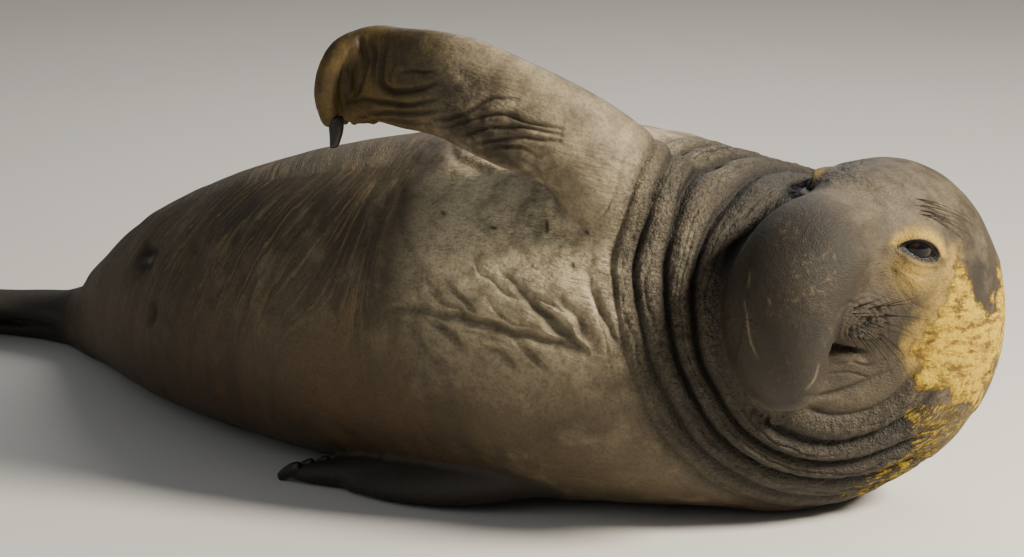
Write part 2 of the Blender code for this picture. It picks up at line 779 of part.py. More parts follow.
def add_claws(hosts, form, side, digits, backs, first, seal, cutters):
    """Five claws near the tips of a foreflipper's digits, each in a hollow of what it meets."""
    for i, (digit, back, size) in enumerate(zip(digits, backs, CLAW_SIZES), 1):
        frame = claw_frame(form, digit, back, first if i == 1 else CLAW_SET_BACK)
        name = "claw_%s_%d" % (side, i)
        claw = new_object(name, claw_mesh(name, size, 0.0), seal)
        claw.data.transform(frame)
        painted(claw, CLAW)
        space = claw_mesh(name + "_space", size, GAP * 1.1)
        hollow = new_object(name + "_space", space, cutters)
        hollow.data.transform(frame)
        for host in hosts:
            cut(host, cutter(hollow))


def main():
    for ob in list(bpy.data.objects):
        bpy.data.objects.remove(ob)
    seal = bpy.data.collections.new("elephant_seal")
    bpy.context.scene.collection.children.link(seal)
    cutters = bpy.data.collections.new("cutters")
    bpy.context.scene.collection.children.link(cutters)

    floor = box("floor_cut", cutters, (-0.6, 0.0, -0.5), np.eye(3), (2.5, 1.5, 0.5))
    limbs = make_limbs(seal, cutters, floor)

    parts = [TRUNK, *SKULL_PARTS, *FACE_PARTS, RAISED[0], *RAISED[1]]
    whole = fused("whole", parts, armed_body, ((COARSE_VOXEL, 3), (FINE_VOXEL, 2)), seal)
    thin_to(whole, BODY_TRIANGLES)
    middle = (ANKLE_X + GAP / 2.0 - 1.0, 0.0, 0.2)
    cut(whole, box("behind_ankle", cutters, middle, np.eye(3), (1.0, 0.6, 0.6)))
    cut(whole, floor)
    cut(whole, swollen(limbs["foreflipper_left"], "left_flipper_space", cutters))
    open_face(whole, seal, cutters)
    for name, centre, normal, side, half in PARTING:
        cut(whole, box(name, cutters, centre, facing(normal, side), (GAP / 2.0, *half)))

    pieces = {}
    for ob, volume in loose_parts(whole, seal):
        middle = points_of(ob.data).mean(0)
        away = {k: np.linalg.norm(middle - np.asarray(v)) for k, v in PIECE_MIDDLES.items()}
        name = min(away, key=away.get)
        if name in pieces or volume < SMALLEST_PIECE:
            bpy.data.objects.remove(ob)
            continue
        ob.name = ob.data.name = name
        pieces[name] = ob
    bpy.data.objects.remove(whole)

    palm = HAND_AXES[2]
    raised_backs = [palm * 0.4 - HAND_AXES[0]] + [-palm - 0.3 * HAND_AXES[0]] * 4
    add_claws(
        [pieces["hand_right"]], armed_body, "right", RAISED[1], raised_backs, LONG_CLAW_SET_BACK,
        seal, cutters
    )
    beside = [limbs["foreflipper_left"], pieces["abdomen"], pieces["chest"]]
    add_claws(
        beside, low_limb(LEFT), "left", LEFT[1], [LOW_CLAW_BACK] * 5, CLAW_SET_BACK, seal, cutters
    )

    dark = ("hand_right", "foreflipper_left", "hindflipper_left", "hindflipper_right", "tail")
    for name, ob in {**pieces, **limbs}.items():
        painted(ob, DARK_SKIN if name in dark else SKIN)


if __name__ == "__main__":
    main()
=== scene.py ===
"""Looks of the young male elephant seal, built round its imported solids.

Metres, in the frame of the solids: +X runs from the tail to the shoulders, +Y to the animal's
back, +Z up, and the floor is Z = 0. One skin replaces the flesh nodes. It is settled on the
same form as the solids, then the folds, lids, lips and creases are worked into it.
"""
import math
from concurrent.futures import ThreadPoolExecutor
from types import SimpleNamespace

import bmesh
import bpy
import numpy as np
from mathutils import Matrix


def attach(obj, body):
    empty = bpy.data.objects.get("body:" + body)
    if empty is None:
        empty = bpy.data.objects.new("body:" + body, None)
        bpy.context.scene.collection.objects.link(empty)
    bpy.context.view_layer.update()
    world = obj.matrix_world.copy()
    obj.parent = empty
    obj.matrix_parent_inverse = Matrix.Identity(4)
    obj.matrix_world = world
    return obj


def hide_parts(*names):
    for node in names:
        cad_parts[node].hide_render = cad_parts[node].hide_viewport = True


# Fineness of the skin
COARSE_VOXEL = 0.014
FINE_VOXEL = 0.009
CHUNK = 16000
THREADS = 4

# Camera: where it looks, its turn and lift, its distance, and the photo's frame and scale
LOOK_AT = (-0.133, -0.114, 0.444)
VIEW_TURN = math.radians(46.0)
VIEW_LIFT = math.radians(14.0)
VIEW_DISTANCE = 10.0
PHOTO_WIDTH = 1024.0
PHOTO_HEIGHT = 557.0
PIXELS_PER_METRE = 505.0
PIXEL = 1.0 / PIXELS_PER_METRE
SENSOR = 36.0

# How softly the underside is flattened on the floor, and the step that slopes are read over
FLOOR_ROUND = 0.012
SLOPE_STEP = 0.002

# Trunk and neck stations: x, y, z, then half heights up and down, and half widths to the
# belly and to the back. The neck bends to the back and then curls up under the head.
TRUNK_STATIONS = (
    (-1.7, 0.022, 0.062, 0.03, 0.036, 0.04, 0.04),
    (-1.64, 0.016, 0.068, 0.058, 0.066, 0.068, 0.068),
    (-1.56, 0.01, 0.08, 0.08, 0.09, 0.095, 0.095),
    (-1.33, -0.045, 0.15, 0.15, 0.16, 0.16, 0.16),
    (-1.05, -0.1, 0.225, 0.235, 0.235, 0.24, 0.24),
    (-0.7, -0.11, 0.295, 0.31, 0.305, 0.32, 0.32),
    (-0.35, -0.055, 0.345, 0.355, 0.355, 0.37, 0.37),
    (-0.02, 0.045, 0.37, 0.38, 0.385, 0.39, 0.39),
    (0.17, 0.165, 0.355, 0.355, 0.365, 0.37, 0.37),
    (0.29, 0.285, 0.335, 0.325, 0.345, 0.33, 0.33),
    (0.375, 0.335, 0.385, 0.27, 0.31, 0.27, 0.28),
    (0.41, 0.35, 0.465, 0.235, 0.26, 0.23, 0.25),
)

# Head: the middle between the eyes, and its directions forward and up. Its ellipsoids have a
# middle and radii, each forward, to the animal's left and up.
HEAD_MIDDLE = (0.52, 0.211, 0.625)
HEAD_FORWARD = (0.163, -0.972, 0.167)
HEAD_UP = (0.304, 0.21, 0.929)
CRANIUM = ((-0.13, 0.0, -0.02), (0.17, 0.16, 0.125))
BROW = ((-0.02, 0.0, -0.005), (0.11, 0.14, 0.085))
CHEEK = ((-0.09, 0.105, -0.095), (0.15, 0.085, 0.125))
MUZZLE = ((0.06, 0.0, -0.1), (0.13, 0.115, 0.085))
WHISKER_PAD = ((0.085, 0.1, -0.16), (0.075, 0.05, 0.05))
THROAT = ((-0.12, 0.0, -0.2), (0.16, 0.17, 0.14))
# Trunk-like nose: forward, left, up, half width and half thickness; its tip hangs to the left
NOSE_STATIONS = (
    (-0.02, 0.0, 0.0, 0.095, 0.065),
    (0.09, 0.0, -0.03, 0.105, 0.075),
    (0.18, 0.005, -0.085, 0.115, 0.095),
    (0.212, 0.017, -0.165, 0.117, 0.1),
    (0.2, 0.038, -0.25, 0.102, 0.088),
    (0.168, 0.055, -0.305, 0.082, 0.068),
)
JAW_STATIONS = (
    (-0.08, 0.0, -0.24, 0.13, 0.085),
    (0.04, 0.0, -0.265, 0.105, 0.052),
    (0.115, 0.01, -0.27, 0.065, 0.038),
)
EYE_RADIUS = 0.034
EYE_SPOT = (0.0, 0.116, 0.0)
EYE_LID = 0.01
EYE_LOOK = (0.55, 0.83, 0.06)
MOUTH_MIDDLE = (0.105, 0.0, -0.231)
NOSTRIL_SPOT = (0.158, 0.028, -0.4)
NOSTRIL_SIZE = (0.026, 0.01, 0.018)
NOSE_TIP_SIDE = 0.06

# Raised right foreflipper: x, y, z, half width, half thickness of the arm and palm
ARM_STATIONS = (
    (0.205, -0.07, 0.625, 0.13, 0.1),
    (0.115, -0.195, 0.775, 0.1, 0.078),
    (0.02, -0.265, 0.826, 0.104, 0.06),
    (-0.095, -0.315, 0.868, 0.101, 0.046),
    (-0.21, -0.34, 0.866, 0.092, 0.036),
    (-0.275, -0.355, 0.85, 0.07, 0.03),
)
HAND_OUT = (-0.695, -0.719, 0.0)
HAND_UP = (-0.174, 0.168, 0.97)
HAND_PIVOT = (-0.28, -0.342, 0.769)
# The digits bend round the pivot: reach out, reach up, depth to the palm side, radius
HAND_DIGITS = (
    (0.1, 0.158, 0.02, 0.03),
    (0.072, 0.105, -0.012, 0.027),
    (0.049, 0.064, -0.024, 0.022),
    (0.028, 0.046, -0.02, 0.017),
    (0.002, 0.022, -0.016, 0.014),
)
# Bend of a digit: angles of its points round the pivot, how square it is, and its end
BEND_TURNS = (1.45, 1.0, 0.6, 0.25)
BEND_SQUARE = 0.75
BEND_END = 0.12
FIRST_END = 0.0
CURL = 0.88
DIGIT_TAPER = (1.05, 1.0, 0.95, 0.88, 0.76, 0.56)
# Where the digits start in the palm: level and spread of their roots, and how far back
PALM_LEVEL = 0.08
PALM_SPREAD = 0.7
PALM_REACH = 0.75

# Left foreflipper, flat on the floor, and the two hind flippers, one above the other
LEFT_STATIONS = (
    (-0.01, -0.12, 0.11, 0.1, 0.075),
    (-0.14, -0.236, 0.062, 0.082, 0.048),
    (-0.262, -0.288, 0.044, 0.07, 0.036),
    (-0.362, -0.306, 0.035, 0.056, 0.027),
)
LEFT_SIDE = (0.2, 0.9, 0.35)
LEFT_TIPS = ((-0.505, -0.376, 0.018), (-0.498, -0.345, 0.021), (-0.481, -0.316, 0.024),
             (-0.457, -0.291, 0.028), (-0.423, -0.27, 0.031))
HIND_RIGHT = (
    (-1.54, 0.0, 0.088, 0.075, 0.05),
    (-1.72, -0.035, 0.084, 0.06, 0.034),
    (-1.87, -0.085, 0.075, 0.085, 0.018),
    (-2.01, -0.145, 0.062, 0.12, 0.011),
)
HIND_LEFT = (
    (-1.54, 0.02, 0.052, 0.075, 0.05),
    (-1.72, 0.015, 0.03, 0.06, 0.034),
    (-1.87, -0.01, 0.016, 0.085, 0.018),
    (-2.01, -0.04, 0.009, 0.12, 0.011),
)
HIND_SIDE = (-0.35, 1.0, 0.0)
HIND_REACH = (0.205, 0.15, 0.125, 0.145, 0.19)
HIND_FAN = 0.5
HIND_DIGIT = 0.015
TAIL_STATIONS = (
    (-1.58, 0.045, 0.075, 0.055, 0.045),
    (-1.68, 0.085, 0.066, 0.034, 0.026),
    (-1.76, 0.11, 0.058, 0.02, 0.013),
)

# Grooves of the neck lie in rings round the face: distance from its middle, width and depth
FOLD_MIDDLE = (0.484, 0.149, 0.431)
FOLD_TURN = (0.368, 0.627, 0.686)
FOLD_PLAIN_SIDE = (0.62, 0.74, 0.28)
NECK_GROOVES = ((0.192, 0.014, 0.013), (0.247, 0.0165, 0.024), (0.31, 0.019, 0.028),
                (0.382, 0.019, 0.028), (0.444, 0.014, 0.017), (0.49, 0.0125, 0.01),
                (0.222, 0.005, 0.004), (0.272, 0.006, 0.004), (0.288, 0.004, 0.003),
                (0.34, 0.0055, 0.005), (0.354, 0.0045, 0.003), (0.412, 0.0065, 0.005),
                (0.428, 0.0045, 0.003), (0.466, 0.005, 0.004), (0.53, 0.005, 0.002))

FLESH_NODES = ("head", "neck", "chest", "abdomen", "rump", "tail", "foreflipper_right",
               "hand_right", "foreflipper_left", "hindflipper_left", "hindflipper_right")


def single(values):
    """Values as an array in single precision, as meshes hold them."""
    return np.asarray(values, np.float32)


def lengths(rows):
    return np.linalg.norm(rows, axis=1)


def ease(x, low, high):
    """0 below the low value and 1 above the high one, with a soft step between them."""
    t = np.clip((x - low) / (high - low), 0.0, 1.0)
    return t * t * (3.0 - 2.0 * t)


def bell(x, width):
    """1 at 0, and falling softly to both sides."""
    return np.exp(-(x / width)**2)


def unit(v):
    v = np.asarray(v, float)
    return v / np.linalg.norm(v)


FORWARD = unit(HEAD_FORWARD)
LEFTWARD = unit(np.cross(HEAD_UP, FORWARD))
UPWARD = np.cross(FORWARD, LEFTWARD)
HEAD_AXES = np.array([FORWARD, LEFTWARD, UPWARD])
HAND_AXES = np.array([unit(HAND_OUT), unit(HAND_UP), unit(np.cross(HAND_UP, HAND_OUT))])
VIEW_RIGHT = np.array([math.cos(VIEW_TURN), math.sin(VIEW_TURN), 0.0])
VIEW_BACK = np.array([
    math.sin(VIEW_TURN) * math.cos(VIEW_LIFT),
    -math.cos(VIEW_TURN) * math.cos(VIEW_LIFT),
    math.sin(VIEW_LIFT),
])
VIEW_UP = np.cross(VIEW_BACK, VIEW_RIGHT)


def head_point(place):
    """World point of a place given forward, left and up from the middle between the eyes."""
    return np.asarray(HEAD_MIDDLE) + np.asarray(place, float) @ HEAD_AXES


# The form: a signed distance, negative inside, from ellipsoids softly joined
def smooth_min(a, b, k):
    h = np.clip(0.5 + 0.5 * (b - a) / k, 0.0, 1.0)
    return b + (a - b) * h - k * h * (1.0 - h)


def smooth_max(a, b, k):
    return -smooth_min(-a, -b, k)


def spline(rows, count):
    """Cubic spline through the rows, in equal steps of the distance along their points."""
    rows = np.asarray(rows, float)
    leg = lengths(np.diff(rows[:, :3], axis=0))
    knots = np.concatenate([[0.0], np.cumsum(leg)])
    t = np.linspace(0.0, knots[-1], count)
    slope = np.gradient(rows, knots, axis=0)
    i = np.clip(np.searchsorted(knots, t, side="right") - 1, 0, len(rows) - 2)
    h = (knots[i + 1] - knots[i])[:, None]
    x = (t - knots[i])[:, None] / h
    start = (2 * x**3 - 3 * x**2 + 1) * rows[i] + (x**3 - 2 * x**2 + x) * h * slope[i]
    end = (3 * x**2 - 2 * x**3) * rows[i + 1] + (x**3 - x**2) * h * slope[i + 1]
    return start + end


class Ball:
    """Ellipsoid with its own axes."""

    def __init__(self, centre, radii, axes, blend):
        self.centre = single(centre)
        self.radii = single(radii)
        self.axes = single(axes)
        self.blend = blend
        self.middle = self.centre
        self.reach = float(self.radii.max())

    def distance(self, p):
        q = (p - self.centre) @ self.axes.T / self.radii
        k0 = np.sqrt((q * q).sum(1))
        q = q / self.radii
        k1 = np.sqrt((q * q).sum(1))
        return k0 * (k0 - 1.0) / np.maximum(k1, 1e-6)

    def ellipsoids(self):
        return [(self.centre, self.radii, self.axes)]


class Limb:
    """Tapered body: ellipsoids in close steps along a spline, with unlike half widths.

    Each row is x, y, z and the half widths to the side, against it, to the face and against it.
    """

    def __init__(self, rows, side, count, blend):
        steps = spline(rows, count)
        self.blend = blend
        self.count = count
        self.centre = single(steps[:, :3])
        along = np.gradient(steps[:, :3], axis=0)
        along /= lengths(along)[:, None]
        across = np.asarray(side, float) - (along @ np.asarray(side, float))[:, None] * along
        across /= lengths(across)[:, None]
        face = np.cross(along, across)
        self.axes = single(np.stack([along, across, face], 1))
        self.plus = single(np.stack([steps[:, 3], steps[:, 3], steps[:, 5]], 1))
        self.minus = single(np.stack([steps[:, 3], steps[:, 4], steps[:, 6]], 1))
        thin = np.minimum(self.plus[:, 1:].mean(1), self.minus[:, 1:].mean(1))
        self.plus[:, 0] = thin
        self.minus[:, 0] = thin
        self.middle = (self.centre.max(0) + self.centre.min(0)) / 2.0
        far = lengths(self.centre - self.middle)
        self.reach = float((far + np.maximum(self.plus, self.minus).max(1)).max())
        self.prepare()
        run = lengths(np.diff(self.centre, axis=0))
        self.run = single(np.concatenate([[0.0], np.cumsum(run)]))

    def prepare(self):
        self.turn = self.axes.reshape(-1, 3).T.copy()
        self.shift = np.einsum("kij,kj->ki", self.axes, self.centre).ravel()

    def measure(self, p):
        """Distance to the limb, and place in it: along it and in its cross section."""
        n = len(p)
        q = (p @ self.turn - self.shift).reshape(n, self.count, 3)
        r = np.where(q > 0, self.plus[None], self.minus[None])
        w = q / r
        k0 = np.sqrt((w * w).sum(2))
        w /= r
        k1 = np.sqrt((w * w).sum(2))
        f = k0 * (k0 - 1.0) / np.maximum(k1, 1e-6)
        k = np.clip(f.argmin(1), 1, self.count - 2)
        i = np.arange(n)
        before, here, after = f[i, k - 1], f[i, k], f[i, k + 1]
        curve = np.maximum(before - 2.0 * here + after, 1e-9)
        shift = np.clip((before - after) / (2.0 * curve), -1.0, 1.0)
        place = np.stack([self.run[k] + q[i, k, 0], q[i, k, 1], q[i, k, 2]], 1)
        return here - 0.25 * (before - after) * shift, place

    def distance(self, p):
        return self.measure(p)[0]

    def ellipsoids(self):
        return list(zip(self.centre, (self.plus + self.minus) / 2.0, self.axes))


def round_limb(points, radii, side, count, blend):
    """Limb of round sections."""
    rows = [(*p, r, r, r, r) for p, r in zip(points, radii)]
    return Limb(rows, side, count, blend)


def flat_limb(rows, side, count, blend):
    """Limb of flat sections, each with a half width and a half thickness."""
    return Limb([(x, y, z, w, w, t, t) for x, y, z, w, t in rows], side, count, blend)


def fan_digits(root, tips, radius, blend):
    """Slender digits from one wrist to the tips of a flipper."""
    out = []
    for tip in tips:
        start, reach = np.asarray(root, float), np.asarray(tip, float) - np.asarray(root, float)
        points = [start + reach * s for s in (0.0, 0.45, 0.8, 1.0)]
        radii = [radius * k for k in (1.15, 1.1, 0.9, 0.55)]
        out.append(round_limb(points, radii, (0.1, 0.2, 1.0), 16, blend))
    return out


def hind_tips(rows):
    """Tips of the five digits of a hind flipper, the outer two longest."""
    wrist = np.array(rows[1][:3])
    out_v = unit(np.array(rows[-1][:3]) - np.array(rows[2][:3]))
    side = unit(np.cross((0.0, 0.0, 1.0), out_v))
    mid = np.array(rows[2][:3])
    tips = []
    for i, reach in enumerate(HIND_REACH):
        turn = HIND_FAN * (i - 2) / 2.0
        tips.append(mid + reach * 1.25 * (out_v * math.cos(turn) + side * math.sin(turn)))
    return wrist, tips


def hand_digits():
    """Digits of the raised flipper: straight through the palm, then bent down round the pivot."""
    out = []
    palm = np.asarray(ARM_STATIONS[3][:3])
    for i, (out_reach, up_reach, depth, radius) in enumerate(HAND_DIGITS):
        pivot = np.asarray(HAND_PIVOT) + depth * HAND_AXES[2]
        top = pivot + up_reach * HAND_AXES[1]
        base = palm + PALM_SPREAD * (up_reach - PALM_LEVEL) * HAND_AXES[1]
        points = [top + PALM_REACH * (base - top)]
        for turn in (*BEND_TURNS, BEND_END if i else FIRST_END):
            across = out_reach * math.cos(turn)**BEND_SQUARE * (1.0 if turn > BEND_END else CURL)
            rise = up_reach * math.sin(turn)**BEND_SQUARE
            points.append(pivot + across * HAND_AXES[0] + rise * HAND_AXES[1])
        radii = [radius * k for k in DIGIT_TAPER]
        out.append(round_limb(points, radii, HAND_AXES[2], 20, 0.022))
    return out


def head_ball(shape, blend, flip=False):
    f, side, u = shape[0]
    return Ball(head_point((f, -side if flip else side, u)), shape[1], HEAD_AXES, blend)


def head_limb(rows, count, blend):
    rows = [(*head_point((f, s, u)), w, w, t, t) for f, s, u, w, t in rows]
    return Limb(rows, LEFTWARD, count, blend)


def eye_centre(sign):
    return head_point((EYE_SPOT[0], sign * EYE_SPOT[1], EYE_SPOT[2]))


def eye_axes(sign):
    """Axes of the eye: out of the head, along the lids, and across them."""
    look = unit(np.array([EYE_LOOK[0], sign * EYE_LOOK[1], EYE_LOOK[2]]) @ HEAD_AXES)
    across = unit(UPWARD - (UPWARD @ look) * look)
    return np.array([look, np.cross(across, look), across])


TRUNK = Limb(TRUNK_STATIONS, (0.0, 0.0, 1.0), 60, 0.0)
# The skull and throat carry the neck's grooves; the rest of the face lies over them
SKULL_PARTS = [
    head_ball(CRANIUM, 0.05),
    head_ball(BROW, 0.05),
    head_ball(CHEEK, 0.05),
    head_ball(CHEEK, 0.05, True),
    head_ball(MUZZLE, 0.05),
    head_ball(THROAT, 0.06),
]
NOSE = head_limb(NOSE_STATIONS, 30, 0.032)
FACE_PARTS = [
    head_ball(WHISKER_PAD, 0.05),
    head_ball(WHISKER_PAD, 0.05, True),
    NOSE,
    head_limb(JAW_STATIONS, 16, 0.03),
    Ball(eye_centre(1), (EYE_RADIUS + EYE_LID,) * 3, HEAD_AXES, 0.02),
    Ball(eye_centre(-1), (EYE_RADIUS + EYE_LID,) * 3, HEAD_AXES, 0.02),
]


def hind_group(rows):
    wrist, tips = hind_tips(rows)
    digits = fan_digits(wrist, tips, HIND_DIGIT, 0.016)
    return flat_limb(rows, HIND_SIDE, 24, 0.0), digits, 0.022


# Each flipper: its paddle, its digits and how softly it joins the body
RAISED = (flat_limb(ARM_STATIONS, HAND_UP, 34, 0.0), hand_digits(), 0.055)
LEFT_PADDLE = flat_limb(LEFT_STATIONS, LEFT_SIDE, 24, 0.0)
LEFT = (LEFT_PADDLE, fan_digits(LEFT_STATIONS[2][:3], LEFT_TIPS, 0.021, 0.02), 0.03)
HINDS = (hind_group(HIND_RIGHT), hind_group(HIND_LEFT))
TAIL = (flat_limb(TAIL_STATIONS, (0.4, 1.0, 0.0), 16, 0.0), [], 0.022)
LOW_GROUPS = (LEFT, *HINDS, TAIL)


def near(part, p, band=0.13):
    """Distance to a part, measured only where it can matter."""
    rough = lengths(p - single(part.middle)) - part.reach
    out = single(np.maximum(rough, band / 2.0))
    close = rough < band
    if close.any():
        out[close] = part.distance(p[close])
    return out


def flipper(group, p):
    """Signed distance to a flipper alone."""
    paddle, digits, _ = group
    d = near(paddle, p)
    for digit in digits:
        d = smooth_min(d, near(digit, p), digit.blend)
    return d


def floored(d, p, rounding=FLOOR_ROUND):
    return smooth_max(d, -p[:, 2], rounding)


def in_chunks(form, p):
    """What a form gives for many points, worked out on several threads."""
    p = single(p)
    starts = range(0, len(p), CHUNK)
    with ThreadPoolExecutor(THREADS) as pool:
        parts = list(pool.map(lambda a: form(p[a:a + CHUNK]), starts))
    return np.concatenate(parts)


def body_form(p):
    """Signed distance to the whole animal, without folds or openings."""
    d = TRUNK.distance(p)
    for part in SKULL_PARTS + FACE_PARTS:
        d = smooth_min(d, near(part, p), part.blend)
    d = floored(smooth_min(d, flipper(RAISED, p), RAISED[2]), p)
    for group in LOW_GROUPS:
        low = floored(flipper(group, p), p, FLOOR_ROUND / 4.0)
        d = smooth_min(d, low, group[2] / 2.0)
    return d


def settle(form, points, steps):
    """Move points onto the surface of a form along its slope."""
    tetra = np.array([(1, -1, -1), (-1, -1, 1), (-1, 1, -1), (1, 1, 1)], np.float32)
    for _ in range(steps):
        values = [in_chunks(form, points + SLOPE_STEP * k) for k in tetra]
        slope = sum(k * v[:, None] for k, v in zip(tetra, values)) / (4.0 * SLOPE_STEP)
        size = np.maximum((slope**2).sum(1), 0.2)
        shift = np.clip(sum(values) / 4.0 / size, -0.02, 0.02)
        points = points - slope * shift[:, None]
    return points


# Meshes
def new_object(name, data):
    ob = bpy.data.objects.new(name, data)
    bpy.context.scene.collection.objects.link(ob)
    return ob


def mesh_of(name, bm):
    mesh = bpy.data.meshes.new(name)
    bm.to_mesh(mesh)
    bm.free()
    return mesh


def exchanged(ob, mesh):
    """Put a new mesh in the place of an object's old one."""
    old = ob.data
    ob.modifiers.clear()
    ob.data = mesh
    bpy.data.meshes.remove(old)
    return mesh


def modified(ob, kind, **settings):
    """The object's new mesh: the old one as a modifier leaves it."""
    mod = ob.modifiers.new("shape", kind)
    for key, value in settings.items():
        setattr(mod, key, value)
    bpy.context.view_layer.update()
    graph = bpy.context.evaluated_depsgraph_get()
    return exchanged(ob, bpy.data.meshes.new_from_object(ob.evaluated_get(graph)))


def matrix_of(centre, radii, axes):
    """Matrix that turns a unit sphere into the ellipsoid."""
    m = Matrix.Identity(4)
    for i in range(3):
        for j in range(3):
            m[i][j] = float(axes[j][i] * radii[j])
        m[i][3] = float(centre[i])
    return m


def sphere_mesh(name, shapes):
    bm = bmesh.new()
    for centre, radii, axes in shapes:
        finer = 3 if max(radii) > 0.06 else 2
        bmesh.ops.create_icosphere(
            bm, subdivisions=finer, radius=1.0, matrix=matrix_of(centre, radii, axes)
        )
    return mesh_of(name, bm)


def values_of(items, name, kind, width):
    values = np.empty(len(items) * width, kind)
    items.foreach_get(name, values)
    return values.reshape(-1, width)


def points_of(mesh):
    return values_of(mesh.vertices, "co", np.float32, 3)


def normals_of(mesh):
    return values_of(mesh.vertices, "normal", np.float32, 3)


def set_points(mesh, points):
    mesh.vertices.foreach_set("co", single(points).ravel())
    mesh.update()


def in_balls(co, balls):
    """Which points lie within some balls, each a middle and a radius."""
    close = np.zeros(len(co), bool)
    for middle, radius in balls:
        close |= lengths(co - single(middle)) < radius
    return close


def near_strokes(mesh, strokes, reach):
    """Which points lie close to curves drawn in the photo's frame, on the side that it shows."""
    wide = [(reach / 2.0, 1.0, points) for _, _, points in strokes]
    facing = normals_of(mesh) @ single(VIEW_BACK) > 0.0
    return (stroke_depth(on_photo(points_of(mesh)), wide) > 0.02) & facing


def softened(mesh, rounds, where=None):
    """Even out the skin a little without shrinking it, or more strongly at chosen points."""
    a, b = values_of(mesh.edges, "vertices", np.int32, 2).T
    co = points_of(mesh).astype(np.float64)
    n = len(co)
    count = np.bincount(a, minlength=n) + np.bincount(b, minlength=n)
    for _ in range(rounds):
        for pull in (0.55, -0.56) if where is None else (0.6,):
            mean = np.empty_like(co)
            for k in range(3):
                total = np.bincount(a, co[b, k], n) + np.bincount(b, co[a, k], n)
                mean[:, k] = total / count
            weight = 1.0 if where is None else np.asarray(where, float)[:, None]
            co += pull * weight * (mean - co)
    set_points(mesh, co)


def spread(mesh, chosen, rounds):
    """Grow a choice of points to their neighbours."""
    a, b = values_of(mesh.edges, "vertices", np.int32, 2).T
    chosen = chosen.copy()
    for _ in range(rounds):
        touched = chosen[a] | chosen[b]
        chosen[a[touched]] = True
        chosen[b[touched]] = True
    return chosen


def finer(ob, close):
    """Halve the edges of the faces whose corners are all among the close points."""
    bm = bmesh.new()
    bm.from_mesh(ob.data)
    faces = [f for f in bm.faces if all(close[v.index] for v in f.verts)]
    edges = list({e for f in faces for e in f.edges})
    bmesh.ops.subdivide_edges(bm, edges=edges, cuts=1, use_grid_fill=True)
    exchanged(ob, mesh_of(ob.name, bm))


def fused_skin():
    """The whole skin, one closed surface settled on the form."""
    parts = [TRUNK, *SKULL_PARTS, *FACE_PARTS]
    for group in (RAISED, *LOW_GROUPS):
        parts += [group[0], *group[1]]
    shapes = [shape for part in parts for shape in part.ellipsoids()]
    ob = new_object("seal_skin", sphere_mesh("seal_skin", shapes))
    for voxel in (COARSE_VOXEL, FINE_VOXEL):
        mesh = modified(ob, "REMESH", mode="VOXEL", voxel_size=voxel, adaptivity=0.0)
        set_points(mesh, settle(body_form, points_of(mesh), 2))
    return ob


# Fields over the skin, for its relief and its colours
def lattice_value(cell, seed):
    """Random value from 0 to 1 for each whole-number cell."""
    h = cell[:, 0] * 374761393 + cell[:, 1] * 668265263 + cell[:, 2] * 2147483647 + seed * 974711
    h = (h ^ (h >> 13)) * 1274126177
    h = h ^ (h >> 16)
    return single(h & 0xFFFF) / 65535.0


def noise(p, size, seed):
    """Smooth noise from -1 to 1 with features of about the given size."""
    q = np.asarray(p, np.float64) / size
    base = np.floor(q).astype(np.int64)
    f = single(q - base)
    f = f * f * (3.0 - 2.0 * f)
    total = np.zeros(len(p), np.float32)
    for i in (0, 1):
        for j in (0, 1):
            for k in (0, 1):
                w = (f[:, 0] if i else 1 - f[:, 0]) * (f[:, 1] if j else 1 - f[:, 1])
                w = w * (f[:, 2] if k else 1 - f[:, 2])
                total += w * lattice_value(base + (i, j, k), seed)
    return 2.0 * total - 1.0


def on_photo(p):
    """Where points fall in the photo's frame, in its pixels."""
    q = p - (np.asarray(LOOK_AT) + VIEW_BACK * VIEW_DISTANCE)
    scale = PIXELS_PER_METRE * VIEW_DISTANCE / -(q @ VIEW_BACK)
    x = PHOTO_WIDTH / 2.0 + scale * (q @ VIEW_RIGHT)
    y = PHOTO_HEIGHT / 2.0 - scale * (q @ VIEW_UP)
    return np.stack([x, y], 1)


def ring_place(p):
    """How far out a point lies in the rings of neck skin round the face."""
    q = p - single(FOLD_MIDDLE)
    reach = lengths(q)
    turn = q @ single(FOLD_TURN)
    v = reach - 0.2 * ease(reach, 0.25, 0.36) * turn
    v = v + 0.004 * np.sin(11.0 * q[:, 2] + 9.0 * q[:, 1]) + 0.002 * np.sin(37.0 * q[:, 2])
    plain = ease(q @ single(FOLD_PLAIN_SIDE), 0.06, 0.2)
    return v, 1.0 - plain


def neck_folds(p):
    """Depth of the grooves that ring the face."""
    v, folded = ring_place(p)
    wander = 0.006 * noise(p, 0.1, 3) + 0.003 * noise(p, 0.035, 4)
    depth = np.zeros(len(p), np.float32)
    for i, (place, width, deep) in enumerate(NECK_GROOVES):
        main = width > 0.012
        strength = 0.85 + (0.2 if main else 0.9) * noise(p + 7.0 * i, 0.13, 5)
        u = np.abs(v + (0.5 if main else 2.2) * wander - place) / width
        profile = np.exp(-u**2) * 0.6 + 0.4 * np.clip(1.0 - u / 0.55, 0.0, 1.0)
        depth += deep * np.clip(strength, 0.0, 1.15) * profile
    return depth * folded


